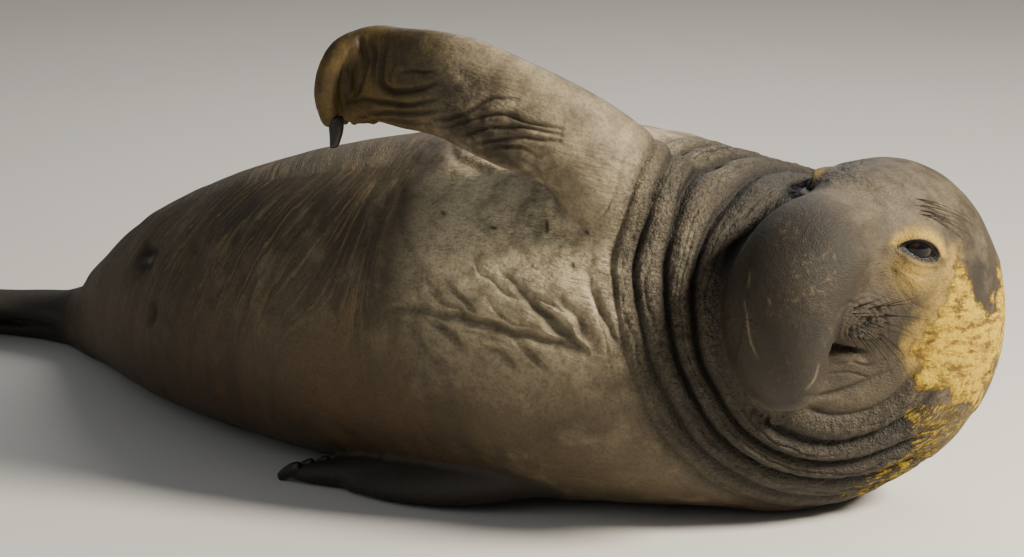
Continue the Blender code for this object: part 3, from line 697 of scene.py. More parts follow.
def stroke_depth(place, strokes):
    """Depth of creases drawn as curves in the photo's frame."""
    depth = np.zeros(len(place), np.float32)
    for width, deep, points in strokes:
        line = single(spline([(x, y, 0.0) for x, y in points], 28)[:, :2])
        low, high = line.min(0) - 4.0 * width / PIXEL, line.max(0) + 4.0 * width / PIXEL
        close = np.flatnonzero(((place > low) & (place < high)).all(1))
        if not len(close):
            continue
        best = np.full(len(close), 1e6, np.float32)
        along = np.zeros(len(close), np.float32)
        for k, (a, b) in enumerate(zip(line, line[1:])):
            side = b - a
            w = place[close] - a
            t = np.clip((w @ side) / (side @ side), 0.0, 1.0)
            gap = np.hypot(w[:, 0] - t * side[0], w[:, 1] - t * side[1])
            nearer = gap < best
            best[nearer] = gap[nearer]
            along[nearer] = (k + t[nearer]) / (len(line) - 1)
        taper = np.sin(np.pi * (0.05 + 0.9 * along))**0.6
        here = deep * taper * bell(best * PIXEL, width)
        depth[close] = np.maximum(depth[close], here)
    return depth


# Lids: half length of the opening, its rise and drop, its tilt, and its corners' place
EYE_SLIT = (0.045, 0.0265, 0.008, 0.05)
EYE_CORNERS = (-0.001, -0.0065)
LID_EDGE = 0.003
LID_THICK = 0.008
LID_STRETCH = 0.75
EYE_FLOOR = EYE_RADIUS - 0.0045
# Mouth: how far forward, to each side and up its slit reaches, its curve and its depth
MOUTH_REACH = (0.105, 0.165, 0.0058)
MOUTH_SMILE = 0.5
MOUTH_DEPTH = 0.017
MOUTH_LIP = 0.005
NOSE_CREASE = (0.007, 0.004)
# Middle of each lip pad, and its ripples: spacing, depth and reach
PAD_RINGS = (0.107, 0.148, -0.152)
PAD_RIPPLE = (0.0125, 0.0058, 0.046)

# The skin is made finer within these reaches: the neck's rings, the flippers, the creases and
# their middles, the face, the lids, the nostrils, and the corner of the mouth, which has places
# and reaches in the head's directions. Round the lids and the nostrils it is settled again, a
# little further out.
RING_REACH = 0.56
FLIPPER_REACH = 0.02
CREASE_REACH = 0.045
CREASE_CORE = 0.022
FACE_MIDDLE = (0.5, 0.12, 0.46)
FACE_REACH = 0.33
LID_REACH = 0.062
NOSTRIL_REACH = 0.04
LID_SETTLED = 0.078
NOSTRIL_SETTLED = 0.055
MOUTH_BALLS = ((0.06, 0.13, -0.22, 0.07), (0.12, 0.12, -0.22, 0.06))

# Creases as curves in the photo's frame: width and depth in metres, and points in pixels
CHEST_CREASES = (
    (0.0115, 0.015, ((405, 307), (421, 310), (452, 316), (472, 320), (494, 327), (515, 333),
                     (537, 337), (555, 342), (583, 352))),
    (0.0105, 0.016, ((518, 288), (529, 300), (542, 313), (561, 332), (574, 343), (585, 352))),
    (0.0075, 0.009, ((446, 276), (451, 287), (463, 300), (474, 313))),
    (0.0075, 0.009, ((426, 278), (434, 293), (452, 308), (472, 319))),
    (0.011, 0.004, ((400, 180), (400, 199), (401, 219), (408, 241), (417, 258), (427, 279))),
    (0.0085, 0.01, ((424, 313), (432, 321), (450, 334), (467, 352))),
    (0.006, 0.005, ((406, 322), (413, 332), (430, 354), (437, 363))),
    (0.0075, 0.009, ((484, 345), (496, 350), (507, 361), (516, 370))),
    (0.008, 0.01, ((512, 338), (520, 346), (531, 356), (544, 370))),
    (0.0085, 0.01, ((584, 268), (590, 282), (598, 306), (609, 332), (616, 346))),
    (0.006, 0.006, ((486, 300), (505, 316), (528, 328), (548, 336))),
    (0.005, 0.004, ((445, 327), (470, 331), (500, 341), (516, 350))),
    (0.005, 0.004, ((500, 272), (520, 288), (545, 300), (570, 318))),
    (0.003, 0.004, ((587, 278), (588, 270), (592, 255), (596, 243))),
    (0.003, 0.003, ((595, 212), (597, 225), (596, 236))),
    (0.004, 0.004, ((634, 188), (622, 203), (613, 213))),
    (0.005, 0.004, ((474, 262), (488, 278), (505, 292), (522, 300))),
    (0.012, 0.009, ((560, 300), (575, 318), (588, 338), (596, 350))),
)
PALM_CREASES = (
    (0.006, 0.009, ((359, 38), (364, 62), (360, 80), (355, 96))),
    (0.005, 0.008, ((370, 40), (374, 54), (372, 67), (374, 82))),
    (0.0065, 0.011, ((384, 44), (380, 66), (381, 82), (389, 90), (404, 91), (421, 88),
                     (436, 82))),
    (0.005, 0.005, ((393, 48), (395, 60), (389, 73), (391, 84))),
    (0.004, 0.005, ((402, 71), (416, 71), (435, 70))),
    (0.005, 0.009, ((350, 101), (364, 99), (381, 102), (408, 105), (436, 99))),
    (0.005, 0.008, ((360, 116), (381, 113), (408, 114), (437, 111))),
    (0.0045, 0.006, ((366, 124), (384, 121), (408, 123), (430, 124))),
    (0.0045, 0.006, ((429, 120), (458, 115), (492, 99), (517, 100))),
    (0.0045, 0.007, ((437, 128), (471, 120), (500, 114), (532, 124), (562, 130))),
    (0.0045, 0.007, ((458, 136), (490, 128), (522, 128), (562, 136))),
    (0.0045, 0.007, ((467, 145), (496, 140), (522, 138), (560, 142))),
    (0.0045, 0.007, ((475, 151), (500, 147), (526, 149), (540, 157))),
    (0.0035, 0.004, ((350, 50), (344, 70), (341, 92), (344, 112))),
    (0.0035, 0.004, ((352, 66), (350, 84), (347, 104))),
)
ARMPIT_CREASES = (
    (0.012, 0.006, ((452, 146), (458, 158), (474, 168), (500, 176))),
    (0.007, 0.009, ((480, 151), (500, 161), (517, 168))),
    (0.004, 0.006, ((517, 157), (532, 166), (543, 178), (549, 195))),
)
BELLY_OPENINGS = (
    (0.013, 0.018, ((136, 272), (142, 262), (147, 252), (156, 244))),
    (0.007, 0.01, ((155, 300), (152, 312), (147, 326))),
    (0.008, 0.005, ((196, 240), (190, 252))),
)
FACE_CREASES = (
    (0.004, 0.004, ((862, 306), (850, 303), (842, 309), (836, 322))),
    (0.0045, 0.003, ((829, 353), (834, 340), (839, 329), (845, 316), (852, 304))),
    (0.0035, 0.003, ((885, 326), (880, 314), (864, 308), (850, 316), (846, 328))),
    (0.0035, 0.003, ((880, 333), (876, 322), (864, 318), (856, 325))),
    (0.011, 0.009, ((864, 333), (869, 326), (874, 318))),
    (0.003, 0.003, ((888, 338), (887, 322), (876, 308), (862, 306))),
    (0.003, 0.003, ((848, 340), (850, 330), (856, 336), (866, 342), (880, 340))),
    (0.0035, 0.003, ((836, 366), (850, 362), (868, 366), (884, 360))),
    (0.0035, 0.003, ((830, 374), (850, 373), (872, 378), (892, 370))),
    (0.006, 0.006, ((798, 397), (815, 397), (836, 393), (856, 386), (880, 374))),
    (0.005, 0.0015, ((890, 262), (896, 282), (908, 300), (925, 310))),
)
# Small dark scars, stains and painted shade, dark strips and pale scratches: width, strength and
# points
CHEST_SCARS = (
    (0.0036, 1.3, ((440, 210), (444, 214))),
    (0.0038, 1.3, ((490, 227), (497, 228))),
    (0.0034, 1.4, ((546, 220), (547, 232))),
    (0.0036, 1.3, ((585, 231), (589, 234))),
    (0.0032, 1.2, ((572, 262), (574, 268))),
)
# Face stains, and painted shade in the far eye's pit, along the nose's edge and under the nose
FACE_STAINS_AND_SHADE = (
    (0.0055, 1.1, ((840, 261), (842, 266))),
    (0.03, 0.8, ((798, 234), (826, 250))),
    (0.012, 0.6, ((813, 314), (818, 330), (815, 347))),
    (0.013, 0.8, ((864, 332), (872, 320))),
    (0.015, 1.2, ((808, 184), (806, 197))),
    (0.0055, 0.8, ((829, 353), (834, 340), (839, 329), (845, 316), (852, 304))),
    (0.015, 0.5, ((814, 370), (830, 373), (850, 381))),
)
# Dark strips at the ear, where the sand is cleared and the skin darkened
EAR_DARK_STRIPS = (
    (0.015, 1.0, ((974, 258), (979, 272), (982, 288), (984, 306))),
    (0.009, 0.9, ((962, 262), (974, 266), (990, 272), (992, 292))),
)
# Pale scars and scratches, and a painted highlight along the wet rim of the nose tip
PALE_SCARS_AND_GLINT = (
    (0.0022, 0.7, ((744, 300), (747, 320), (750, 340), (757, 358))),
    (0.0022, 0.6, ((750, 270), (749, 280), (748, 288))),
    (0.0022, 0.4, ((768, 297), (770, 305))),
    (0.0022, 0.5, ((806, 390), (814, 380), (819, 364))),
    (0.004, 0.7, ((860, 358), (865, 362))),
    (0.004, 0.5, ((847, 361), (853, 362))),
    (0.004, 0.6, ((384, 305), (400, 305), (414, 309))),
    (0.004, 0.5, ((640, 118), (625, 130), (618, 140))),
    (0.0035, 0.6, ((455, 185), (462, 200), (478, 205))),
    (0.006, 0.9, ((140, 260), (146, 254))),
)
# Sand stuck to the cheek, and the strip below it where only the folds hold sand
SAND_PATCH = ((957, 257), (946, 286), (938, 313), (932, 332), (908, 349), (918, 368), (916, 390),
              (938, 396), (950, 391), (957, 406), (980, 410), (1020, 330), (1012, 268),
              (1000, 262), (994, 280), (991, 306), (984, 308), (977, 286), (968, 270))
OCHRE_SIDE = ((885, 240), (960, 240), (965, 275), (940, 380), (905, 375), (893, 330))
SAND_STREAKS = ((934, 394), (958, 404), (985, 400), (975, 450), (930, 490), (880, 515),
                (832, 506), (850, 484), (895, 462), (912, 436), (905, 412))
SAND_PATCH_SOFT = 9.0
# The chest faces this way, and its fine wrinkles run along the first direction of its grain
# Painted light on the chest is strongest where the skin faces this way
CHEST_FRONT = (0.0, -1.0, 0.3)
CHEST_GRAIN = ((0.714, 0.655, -0.243), (-0.676, 0.737, 0.0), (0.179, 0.164, 0.97))
# Wrinkled neck skin: the rings where it starts and is full, where it ends, and its soft end
NECK_ZONE = (0.18, 0.21, 0.54, 0.1)
# Streaks of the belly fan out from a root, which has a run along the body and an angle
STREAK_ROOT = (1.52, 0.5)
STREAK_LEAN = 0.45
BODY_GIRTH = 0.37


def eye_place(p, sign):
    """Points in the eye's own axes: out of the head, towards the nose, and up."""
    look, along, across = eye_axes(sign)
    axes = np.array([look, along if along @ FORWARD > 0 else -along, across], np.float32)
    return (p - single(eye_centre(sign))) @ axes.T


def almond(q):
    """Distance across the lids to the opening between two arcs, negative inside."""
    half, rise, drop, tilt = EYE_SLIT
    along = q[:, 1] - EYE_CORNERS[0]
    across = q[:, 2] - EYE_CORNERS[1] - tilt * along
    upper = (half**2 + rise**2) / (2.0 * rise)
    lower = (half**2 + drop**2) / (2.0 * drop)
    over = np.hypot(along, across - (rise - upper)) - upper
    under = np.hypot(along, across + (drop - lower)) - lower
    return smooth_max(over, under, 0.002)


def lids(d, p, sign):
    """Lids that hug one eyeball, with a fold above, one below, and a corner at each end."""
    q = eye_place(p, sign)
    gap = almond(q)
    reach = np.sqrt(q[:, 0]**2 + (LID_STRETCH * q[:, 1])**2 + q[:, 2]**2)
    out = np.maximum(gap, 0.0)
    lid = EYE_RADIUS + LID_EDGE + LID_THICK * (1.0 - np.exp(-out / 0.005)) + 0.5 * out
    upper = ease(q[:, 2], -0.01, 0.004)
    lid -= 0.0045 * upper * bell(gap - 0.0125, 0.0035)
    lid -= 0.0025 * (1.0 - upper) * bell(gap - 0.0155, 0.0045)
    opened = 1.0 - ease(gap, -0.0036, 0.001)
    lid = lid + (EYE_FLOOR - lid) * opened
    carve = np.where((q[:, 0] > 0.0) & (gap < 0.035), reach - lid, -1.0)
    return smooth_max(d, single(carve), 0.003)


def face_form(p):
    """Signed distance to the head and neck with the face's openings."""
    rest = NECK.distance(p)
    for part in SKULL_PARTS + FACE_PARTS:
        if part is not NOSE:
            rest = smooth_min(rest, near(part, p), part.blend)
    nose = near(NOSE, p)
    q = (p - single(HEAD_MIDDLE)) @ single(HEAD_AXES.T)
    d = smooth_min(rest, nose, NOSE.blend)
    width, deep = NOSE_CREASE
    low = ease(-q[:, 2], 0.055, 0.115)
    d = d + deep * low * bell(nose - rest, width)
    d = floored(smooth_min(d, flipper(RAISED, p), RAISED[2]), p)
    for sign in (1, -1):
        d = lids(d, p, sign)
    for nostril in NOSTRILS:
        d = smooth_max(d, -nostril.distance(p), 0.006)
    return d


def mouth_line(q):
    """Depth of the mouth between the lips, less the swell of the lower lip."""
    q = q - single(MOUTH_MIDDLE)
    across = np.sqrt((q[:, 0] / MOUTH_REACH[0])**2 + (q[:, 1] / MOUTH_REACH[1])**2)
    level = q[:, 2] - MOUTH_SMILE * q[:, 1]**2
    hold = ease(1.06 - across, 0.0, 0.3)
    opening = np.exp(-np.abs(level / MOUTH_REACH[2])**2.4)
    lip = bell(level + 0.02, 0.009)
    return (MOUTH_DEPTH * opening - MOUTH_LIP * lip) * hold


def make_nostrils():
    out = []
    for sign in (1, -1):
        place = (NOSTRIL_SPOT[0], NOSE_TIP_SIDE + sign * NOSTRIL_SPOT[1], NOSTRIL_SPOT[2])
        spot, outward = on_skin(body_form, head_point(place))
        side = unit(LEFTWARD - (LEFTWARD @ outward) * outward)
        out.append(Ball(spot, NOSTRIL_SIZE, np.array([outward, side, np.cross(outward, side)]), 0.0))
    return out


def on_skin(form, place):
    """Nearest place on a form's surface, and the outward direction there."""
    spot = settle(form, single(place)[None], 6)
    around = form(spot + np.eye(3, dtype=np.float32) * SLOPE_STEP)
    return spot[0], unit(around - form(spot))


def last_part(limb, first):
    """The end of a limb from one of its sections on."""
    end = Limb.__new__(Limb)
    end.blend = limb.blend
    end.count = limb.count - first
    for name in ("centre", "axes", "plus", "minus", "run"):
        setattr(end, name, getattr(limb, name)[first:])
    end.middle, end.reach = limb.middle, limb.reach
    end.prepare()
    return end


NECK = last_part(TRUNK, 34)
NOSTRILS = make_nostrils()


def group_distance(group, p):
    return in_chunks(lambda q: flipper(group, q), p)


def opening_balls(lid_reach, nostril_reach):
    """Balls round the lids and the nostrils, each a middle and a radius."""
    eyes = [(eye_centre(sign), lid_reach) for sign in (1, -1)]
    return eyes + [(nostril.centre, nostril_reach) for nostril in NOSTRILS]


def refined(ob):
    """Finer skin on the neck, the flippers and the creases, then the face, then its openings."""
    co = points_of(ob.data)
    close = in_balls(co, [(FOLD_MIDDLE, RING_REACH)])
    for group in (RAISED, *LOW_GROUPS):
        close |= group_distance(group, co) < FLIPPER_REACH
    creases = CHEST_CREASES + ARMPIT_CREASES + BELLY_OPENINGS + CHEST_SCARS
    finer(ob, close | near_strokes(ob.data, creases, CREASE_REACH))
    close = in_balls(points_of(ob.data), [(FACE_MIDDLE, FACE_REACH)])
    finer(ob, close | near_strokes(ob.data, creases + PALM_CREASES, CREASE_CORE))
    mouth = [(head_point(place), reach) for *place, reach in MOUTH_BALLS]
    finer(ob, in_balls(points_of(ob.data), opening_balls(LID_REACH, NOSTRIL_REACH) + mouth))
    softened(ob.data, 3)


def polygon_depth(place, corners):
    """How far inside a polygon of the photo's frame points lie, in pixels, negative outside."""
    corners = single(corners)
    best = np.full(len(place), 1e6, np.float32)
    inside = np.zeros(len(place), bool)
    for a, b in zip(corners, np.roll(corners, -1, axis=0)):
        side = b - a
        w = place - a
        t = np.clip((w @ side) / (side @ side), 0.0, 1.0)[:, None]
        best = np.minimum(best, lengths(w - side * t))
        crosses = (a[1] > place[:, 1]) != (b[1] > place[:, 1])
        level = a[0] + side[0] * (place[:, 1] - a[1]) / (side[1] if side[1] else 1e-6)
        inside ^= crosses & (place[:, 0] < level)
    return np.where(inside, best, -best)


def body_place(p):
    """Distance to the trunk, and the run along it and the angle round it from the top."""
    distance, run, across, up = in_chunks(lambda q: np.column_stack(TRUNK.measure(q)), p).T
    return distance, run, np.arctan2(up, across)


def open_lids(mesh):
    """Settle the skin round the lids and the nostrils on the form that has them open."""
    co = points_of(mesh)
    depth = np.full(len(co), -1.0, np.float32)
    for place, radius in opening_balls(LID_SETTLED, NOSTRIL_SETTLED):
        depth = np.maximum(depth, radius - lengths(co - single(place)))
    face = depth > 0.0
    moved = settle(face_form, co[face], 4)
    hold = ease(depth[face], 0.0, 0.02)[:, None]
    co[face] += (moved - co[face]) * hold
    set_points(mesh, co)
    lidded = np.zeros(len(co), np.float32)
    for sign in (1, -1):
        lidded += ease(LID_REACH - lengths(eye_place(co, sign)), 0.0, 0.01)
    softened(mesh, 2, lidded)


def lip_pads(co, head):
    """Where the lip pads lie, and the height of the ripples round their middles."""
    ahead, left, up = head.T
    pads = np.exp(-(((ahead - PAD_RINGS[0]) / 0.07)**2 + ((up - PAD_RINGS[2]) / 0.05)**2))
    pads *= ease(np.abs(left), 0.05, 0.09)
    hollow = np.stack([ahead, np.abs(left), up], 1) - single(PAD_RINGS)
    hollow = lengths(hollow) + 0.004 * noise(co, 0.025, 16)
    spacing, deep, wide = PAD_RIPPLE
    ripple = 0.5 + 0.5 * np.cos(2.0 * np.pi * hollow / spacing)
    return pads, deep * ripple * bell(hollow, wide)


def worked_skin(ob):
    """Work the face, the folds and the creases into the skin, and mark its colours."""
    mesh = ob.data
    reach = lengths(points_of(mesh) - single(FACE_MIDDLE))
    open_lids(mesh)
    co = points_of(mesh)
    normal = normals_of(mesh)
    arm = group_distance(RAISED, co)
    low = np.minimum.reduce([group_distance(group, co) for group in LOW_GROUPS])
    trunk, run, angle = body_place(co)
    skull = np.minimum.reduce([in_chunks(part.distance, co) for part in SKULL_PARTS])
    over = np.minimum.reduce([in_chunks(part.distance, co) for part in FACE_PARTS])
    bare = ease(over - np.minimum(skull, trunk), -0.012, 0.012)
    place = on_photo(co)
    facing = normal @ single(VIEW_BACK)
    toward = ease(facing, 0.0, 0.35)
    on_arm = ease(trunk - arm, -0.1, -0.02)
    wander = 3.0 * np.stack([noise(co, 0.03, seed) for seed in (31, 32)], 1)
    drawn = place + wander
    far_eye = lengths(co - single(eye_centre(-1)))
    folds = neck_folds(co) * bare * ease(over, 0.002, 0.042) * ease(far_eye, 0.08, 0.16)
    chest = stroke_depth(drawn, CHEST_CREASES) * toward * (1.0 - on_arm)
    armpit = stroke_depth(drawn, ARMPIT_CREASES) * toward
    belly = stroke_depth(drawn, BELLY_OPENINGS) * toward
    palm = stroke_depth(place + 0.4 * wander, PALM_CREASES) * toward * (arm < 0.02)
    lines = stroke_depth(place, FACE_CREASES) * toward
    q = (co - single(HEAD_MIDDLE)) @ single(HEAD_AXES.T)
    mouth = mouth_line(q) * (reach < FACE_REACH) * ease(0.05 - over, 0.0, 0.02)
    depth = folds + chest + armpit + belly + palm + lines + mouth
    away = ease(np.minimum(arm, low), 0.01, 0.06)
    rough = 0.003 * noise(co, 0.13, 11) + 0.0015 * noise(co, 0.045, 12) - 0.0045
    ring, folded = ring_place(co)
    fine = 0.0011 * noise(co, 0.016, 13) + 0.0008 * noise(co, 0.009, 14)
    pads, ripple = lip_pads(co, q)
    relief = rough * away * ease(reach, 0.2, 0.4)
    start, full, end, soft = NECK_ZONE
    neck = folded * ease(ring, start, full) * ease(end - ring, 0.0, soft) * bare
    relief += fine * (1.3 * neck + 1.6 * pads) - ripple
    lump = 0.0035 * noise(co, 0.035, 15) * neck
    co = co + normal * (relief + np.minimum(lump, 0.0) - depth)[:, None]
    set_points(mesh, co)
    folded_over = (normals_of(mesh) * normal).sum(1) < 0.25
    softened(mesh, 20, spread(mesh, folded_over, 4))
    co = points_of(mesh)
    co[:, 2] = np.maximum(co[:, 2], 0.0)
    set_points(mesh, co)
    # How deep the skin lies in its folds and creases, for the painted shade in them
    depth = 0.75 * folds + 0.5 * (chest + armpit) + 0.8 * (belly + palm + lines) + mouth
    paint(mesh, co, normal, SimpleNamespace(
        place=place, facing=facing, arm=arm, low=low, run=run, angle=angle,
        depth=depth, neck=neck, ring=ring, head=q, pads=pads,
    ))


def sand_marks(co, at, toward):
    """The sand on the cheek, the ochre round it, the sandy folds below and dark strips at the ear
    that clear it.
    """
    ragged = 6.0 * noise(co, 0.045, 21) + 5.0 * noise(co, 0.018, 22) + 3.0 * noise(co, 0.008, 23)
    seen = ease(at.facing, -0.45, -0.05)
    inside = polygon_depth(at.place, SAND_PATCH) + ragged
    sand = ease(inside, -SAND_PATCH_SOFT, 1.4 * SAND_PATCH_SOFT) * seen
    halo = 0.75 * ease(inside, -26.0, 2.0) * seen
    halo *= ease(polygon_depth(at.place, OCHRE_SIDE) + 0.7 * ragged, -8.0, 8.0)
    inside = polygon_depth(at.place, SAND_STREAKS) + ragged
    streaks = ease(inside, -12.0, 10.0) * seen
    ear_strip = stroke_depth(at.place + 0.6 * ragged[:, None], EAR_DARK_STRIPS) * toward
    clean = 1.0 - np.clip(1.5 * ear_strip, 0.0, 1.0)
    return sand * clean, halo * clean, streaks, ear_strip


def eye_marks(co, neck, ochre):
    """The dark edges of the lids, and the ochre with that of the skin round the eyes."""
    lid = np.zeros(len(co), np.float32)
    for sign in (1, -1):
        e = eye_place(co, sign)
        gap = almond(e)
        close = lengths(e) < 0.13
        arc = bell(gap - 0.013, 0.01) * ease(e[:, 2], -0.012, 0.004)
        under = np.exp(-(((e[:, 1] + 0.01) / 0.055)**2 + ((e[:, 2] + 0.045) / 0.04)**2))
        skin = 1.0 if sign > 0 else 0.5 - 0.5 * ease(neck, 0.0, 0.4)
        ochre = np.maximum(ochre, close * skin * np.maximum(arc, 0.75 * under))
        rim = bell(np.maximum(gap - 0.0015, 0.0), 0.003)
        lid = np.maximum(lid, rim * (lengths(e) < 0.052))
    return lid, ochre


def hair_marks(at):
    """The streaked hair of the body, and the vector that its streaks follow."""
    run, arc = at.run, BODY_GIRTH * at.angle
    lean = STREAK_LEAN * ease(STREAK_ROOT[0] - run, 0.05, 0.35)
    across = run + lean * np.abs(arc - BODY_GIRTH * STREAK_ROOT[1])
    body = ease(1.5 - run, 0.0, 0.12) * ease(run - 0.15, 0.0, 0.15)
    body *= ease(np.minimum(at.arm, at.low), 0.0, 0.05)
    body *= ease(2.9 - np.abs(at.angle), 0.0, 0.4)
    hair = body * (0.15 + 0.85 * ease(1.05 - np.abs(at.angle - 0.8), 0.0, 0.8))
    return hair, np.stack([arc, across, np.zeros_like(arc)], 1)


def paint(mesh, co, normal, at):
    """Mark on the skin where each of its colours and textures lies, and where light and shade are
    painted.
    """
    ahead, _, up = at.head.T
    near_head = ease(0.34 - lengths(at.head + (0.0, 0.0, 0.1)), 0.0, 0.1)
    # Painted shade: darker where the skin lies deep in its folds, creases and openings
    crease_shade = np.clip(at.depth / 0.012, 0.0, 1.0)
    toward = ease(at.facing, 0.0, 0.3)
    sand, ochre, streaks, ear_strip = sand_marks(co, at, toward)
    lid, ochre = eye_marks(co, at.neck, ochre)
    hair, combed = hair_marks(at)
    hand = ease(0.02 - at.arm, 0.0, 0.02) * ease(-co[:, 0], 0.02, 0.2)
    palm = hand * ease(normal @ single(HAND_AXES[2]), -0.5, 0.1)
    # Reddish brown low belly, with painted shade: darker towards the floor
    shaded_low_belly = ease(0.44 - co[:, 2], -0.05, 0.28) * (1.0 - near_head)
    shaded_low_belly *= ease(1.75 - at.run, 0.0, 0.3)
    dark = np.maximum(ease(0.02 - at.low, 0.0, 0.02), ease(-1.48 - co[:, 0], 0.0, 0.2))
    # Painted light: the chest paler higher up and where it faces forward, clear of the flipper
    chest = ease(at.run, 1.45, 1.62) * ease(2.1 - at.run, 0.0, 0.2) * (1.0 - near_head)
    chest *= ease(at.arm, -0.02, 0.03) * ease(co[:, 2], 0.22, 0.55)
    chest *= ease(normal @ single(CHEST_FRONT), -0.3, 0.4)
    fur = near_head * (1.0 - at.neck)
    # The nose: its own dark brown, made darker still as painted shade
    nose = ease(0.03 - in_chunks(NOSE.distance, co), 0.0, 0.03)
    nose *= ease(ahead, 0.1, 0.22)
    # Painted sheen: paler on the top of the raised flipper and on the top of the head
    painted_sheen = ease(0.03 - at.arm, 0.0, 0.03) * ease(normal[:, 2], 0.0, 0.8)
    painted_sheen = 0.35 * painted_sheen * (1.0 - palm)
    painted_sheen = np.maximum(painted_sheen, 0.45 * near_head * ease(up, -0.02, 0.05) * (1.0 - nose))
    # Painted shade: darker on the underside of the raised flipper, most towards the hand
    under = ease(0.03 - at.arm, 0.0, 0.03) * ease(0.75 - normal[:, 2], 0.0, 0.45)
    under *= 0.35 + 0.65 * ease(0.18 - co[:, 0], 0.0, 0.16)
    # Dark scars and stains, dark strips at the ear, and painted shade in the far eye's pit, along
    # the nose's edge and under the nose
    darks_and_shade = np.maximum(stroke_depth(at.place, CHEST_SCARS + FACE_STAINS_AND_SHADE) * toward, 0.7 * ear_strip)
    # Pale scars and scratches, with a painted highlight on the nose tip's wet rim
    pale = stroke_depth(at.place, PALE_SCARS_AND_GLINT) * toward
    mark(mesh, "Marks", crease_shade, sand, palm)
    mark(mesh, "ShadedBellyNeckHair", shaded_low_belly, at.neck, hair)
    mark(mesh, "Darks", dark, ochre, lid)
    mark(mesh, "Spots", pale, darks_and_shade, chest)
    mark(mesh, "Extras", streaks, fur, at.pads)
    mark(mesh, "Tones", nose, painted_sheen, under * (1.0 - palm))
    round_face = co - single(FOLD_MIDDLE)
    turn = np.arctan2(round_face @ single(VIEW_UP), -(round_face @ single(VIEW_RIGHT)))
    headed = (lengths(at.head) < 0.37)[:, None]
    flow(mesh, "Flow", combed)
    flow(mesh, "Rings", np.stack([0.33 * turn, at.ring, np.zeros_like(turn)], 1))
    flow(mesh, "Grain", np.where(headed, at.head, co @ single(CHEST_GRAIN).T))
    mesh.shade_smooth()


def flow(mesh, name, vectors):
    """Keep a vector on each point of a mesh."""
    layer = mesh.attributes.new(name, "FLOAT_VECTOR", "POINT")
    layer.data.foreach_set("vector", single(vectors).ravel())


def mark(mesh, name, *channels):
    """Keep up to three fields from 0 to 1 on the points of a mesh."""
    colour = np.ones((len(mesh.vertices), 4), np.float32)
    for i, channel in enumerate(channels):
        colour[:, i] = np.clip(channel, 0.0, 1.0)
    layer = mesh.color_attributes.new(name, "FLOAT_COLOR", "POINT")
    layer.data.foreach_set("color", colour.ravel())


# Tones of the skin, some of them painted light and shade, the sand, the small pieces and the floor
UMBER = (0.044, 0.031, 0.017)
TAUPE = (0.1, 0.074, 0.042)
SILVER = (0.205, 0.165, 0.103)
# Painted sheen on the tops of the raised flipper and the head
SHEEN_PALE = (0.27, 0.222, 0.145)
GOLD = (0.27, 0.19, 0.08)
TAN = (0.15, 0.1, 0.045)
SCAR = (0.3, 0.23, 0.13)
RUSSET = (0.08, 0.044, 0.018)
PALM = (0.155, 0.098, 0.025)
PALM_DARK = (0.052, 0.033, 0.011)
# Dark brown of the nose, made darker still as painted shade
NOSE_TONE_AND_SHADE = (0.018, 0.0135, 0.008)
# Darker neck skin, partly painted shade
NECK_TONE_AND_SHADE = (0.034, 0.028, 0.02)
FLIPPER = (0.026, 0.022, 0.018)
# Darkest tone: painted shade in creases and folds, and the dark of scars, stains and fine specks
SHADE_AND_SCAR_DARK = (0.01, 0.008, 0.005)
OCHRE = (0.37, 0.24, 0.045)
# Painted light of the sunlit chest
CHEST_PAINTED_LIGHT = (0.7, 0.585, 0.37)
SAND = (0.8, 0.57, 0.05)
SAND_SHADE = (0.3, 0.178, 0.02)
LID = (0.01, 0.008, 0.007)
IRIS = (0.022, 0.013, 0.008)
PUPIL = (0.003, 0.003, 0.004)
HORN = (0.008, 0.007, 0.006)
HORN_PALE = (0.028, 0.021, 0.015)
BRISTLE = (0.008, 0.006, 0.005)
FLOOR_TONES = ((0.62, 0.6, 0.56), (0.66, 0.64, 0.6))


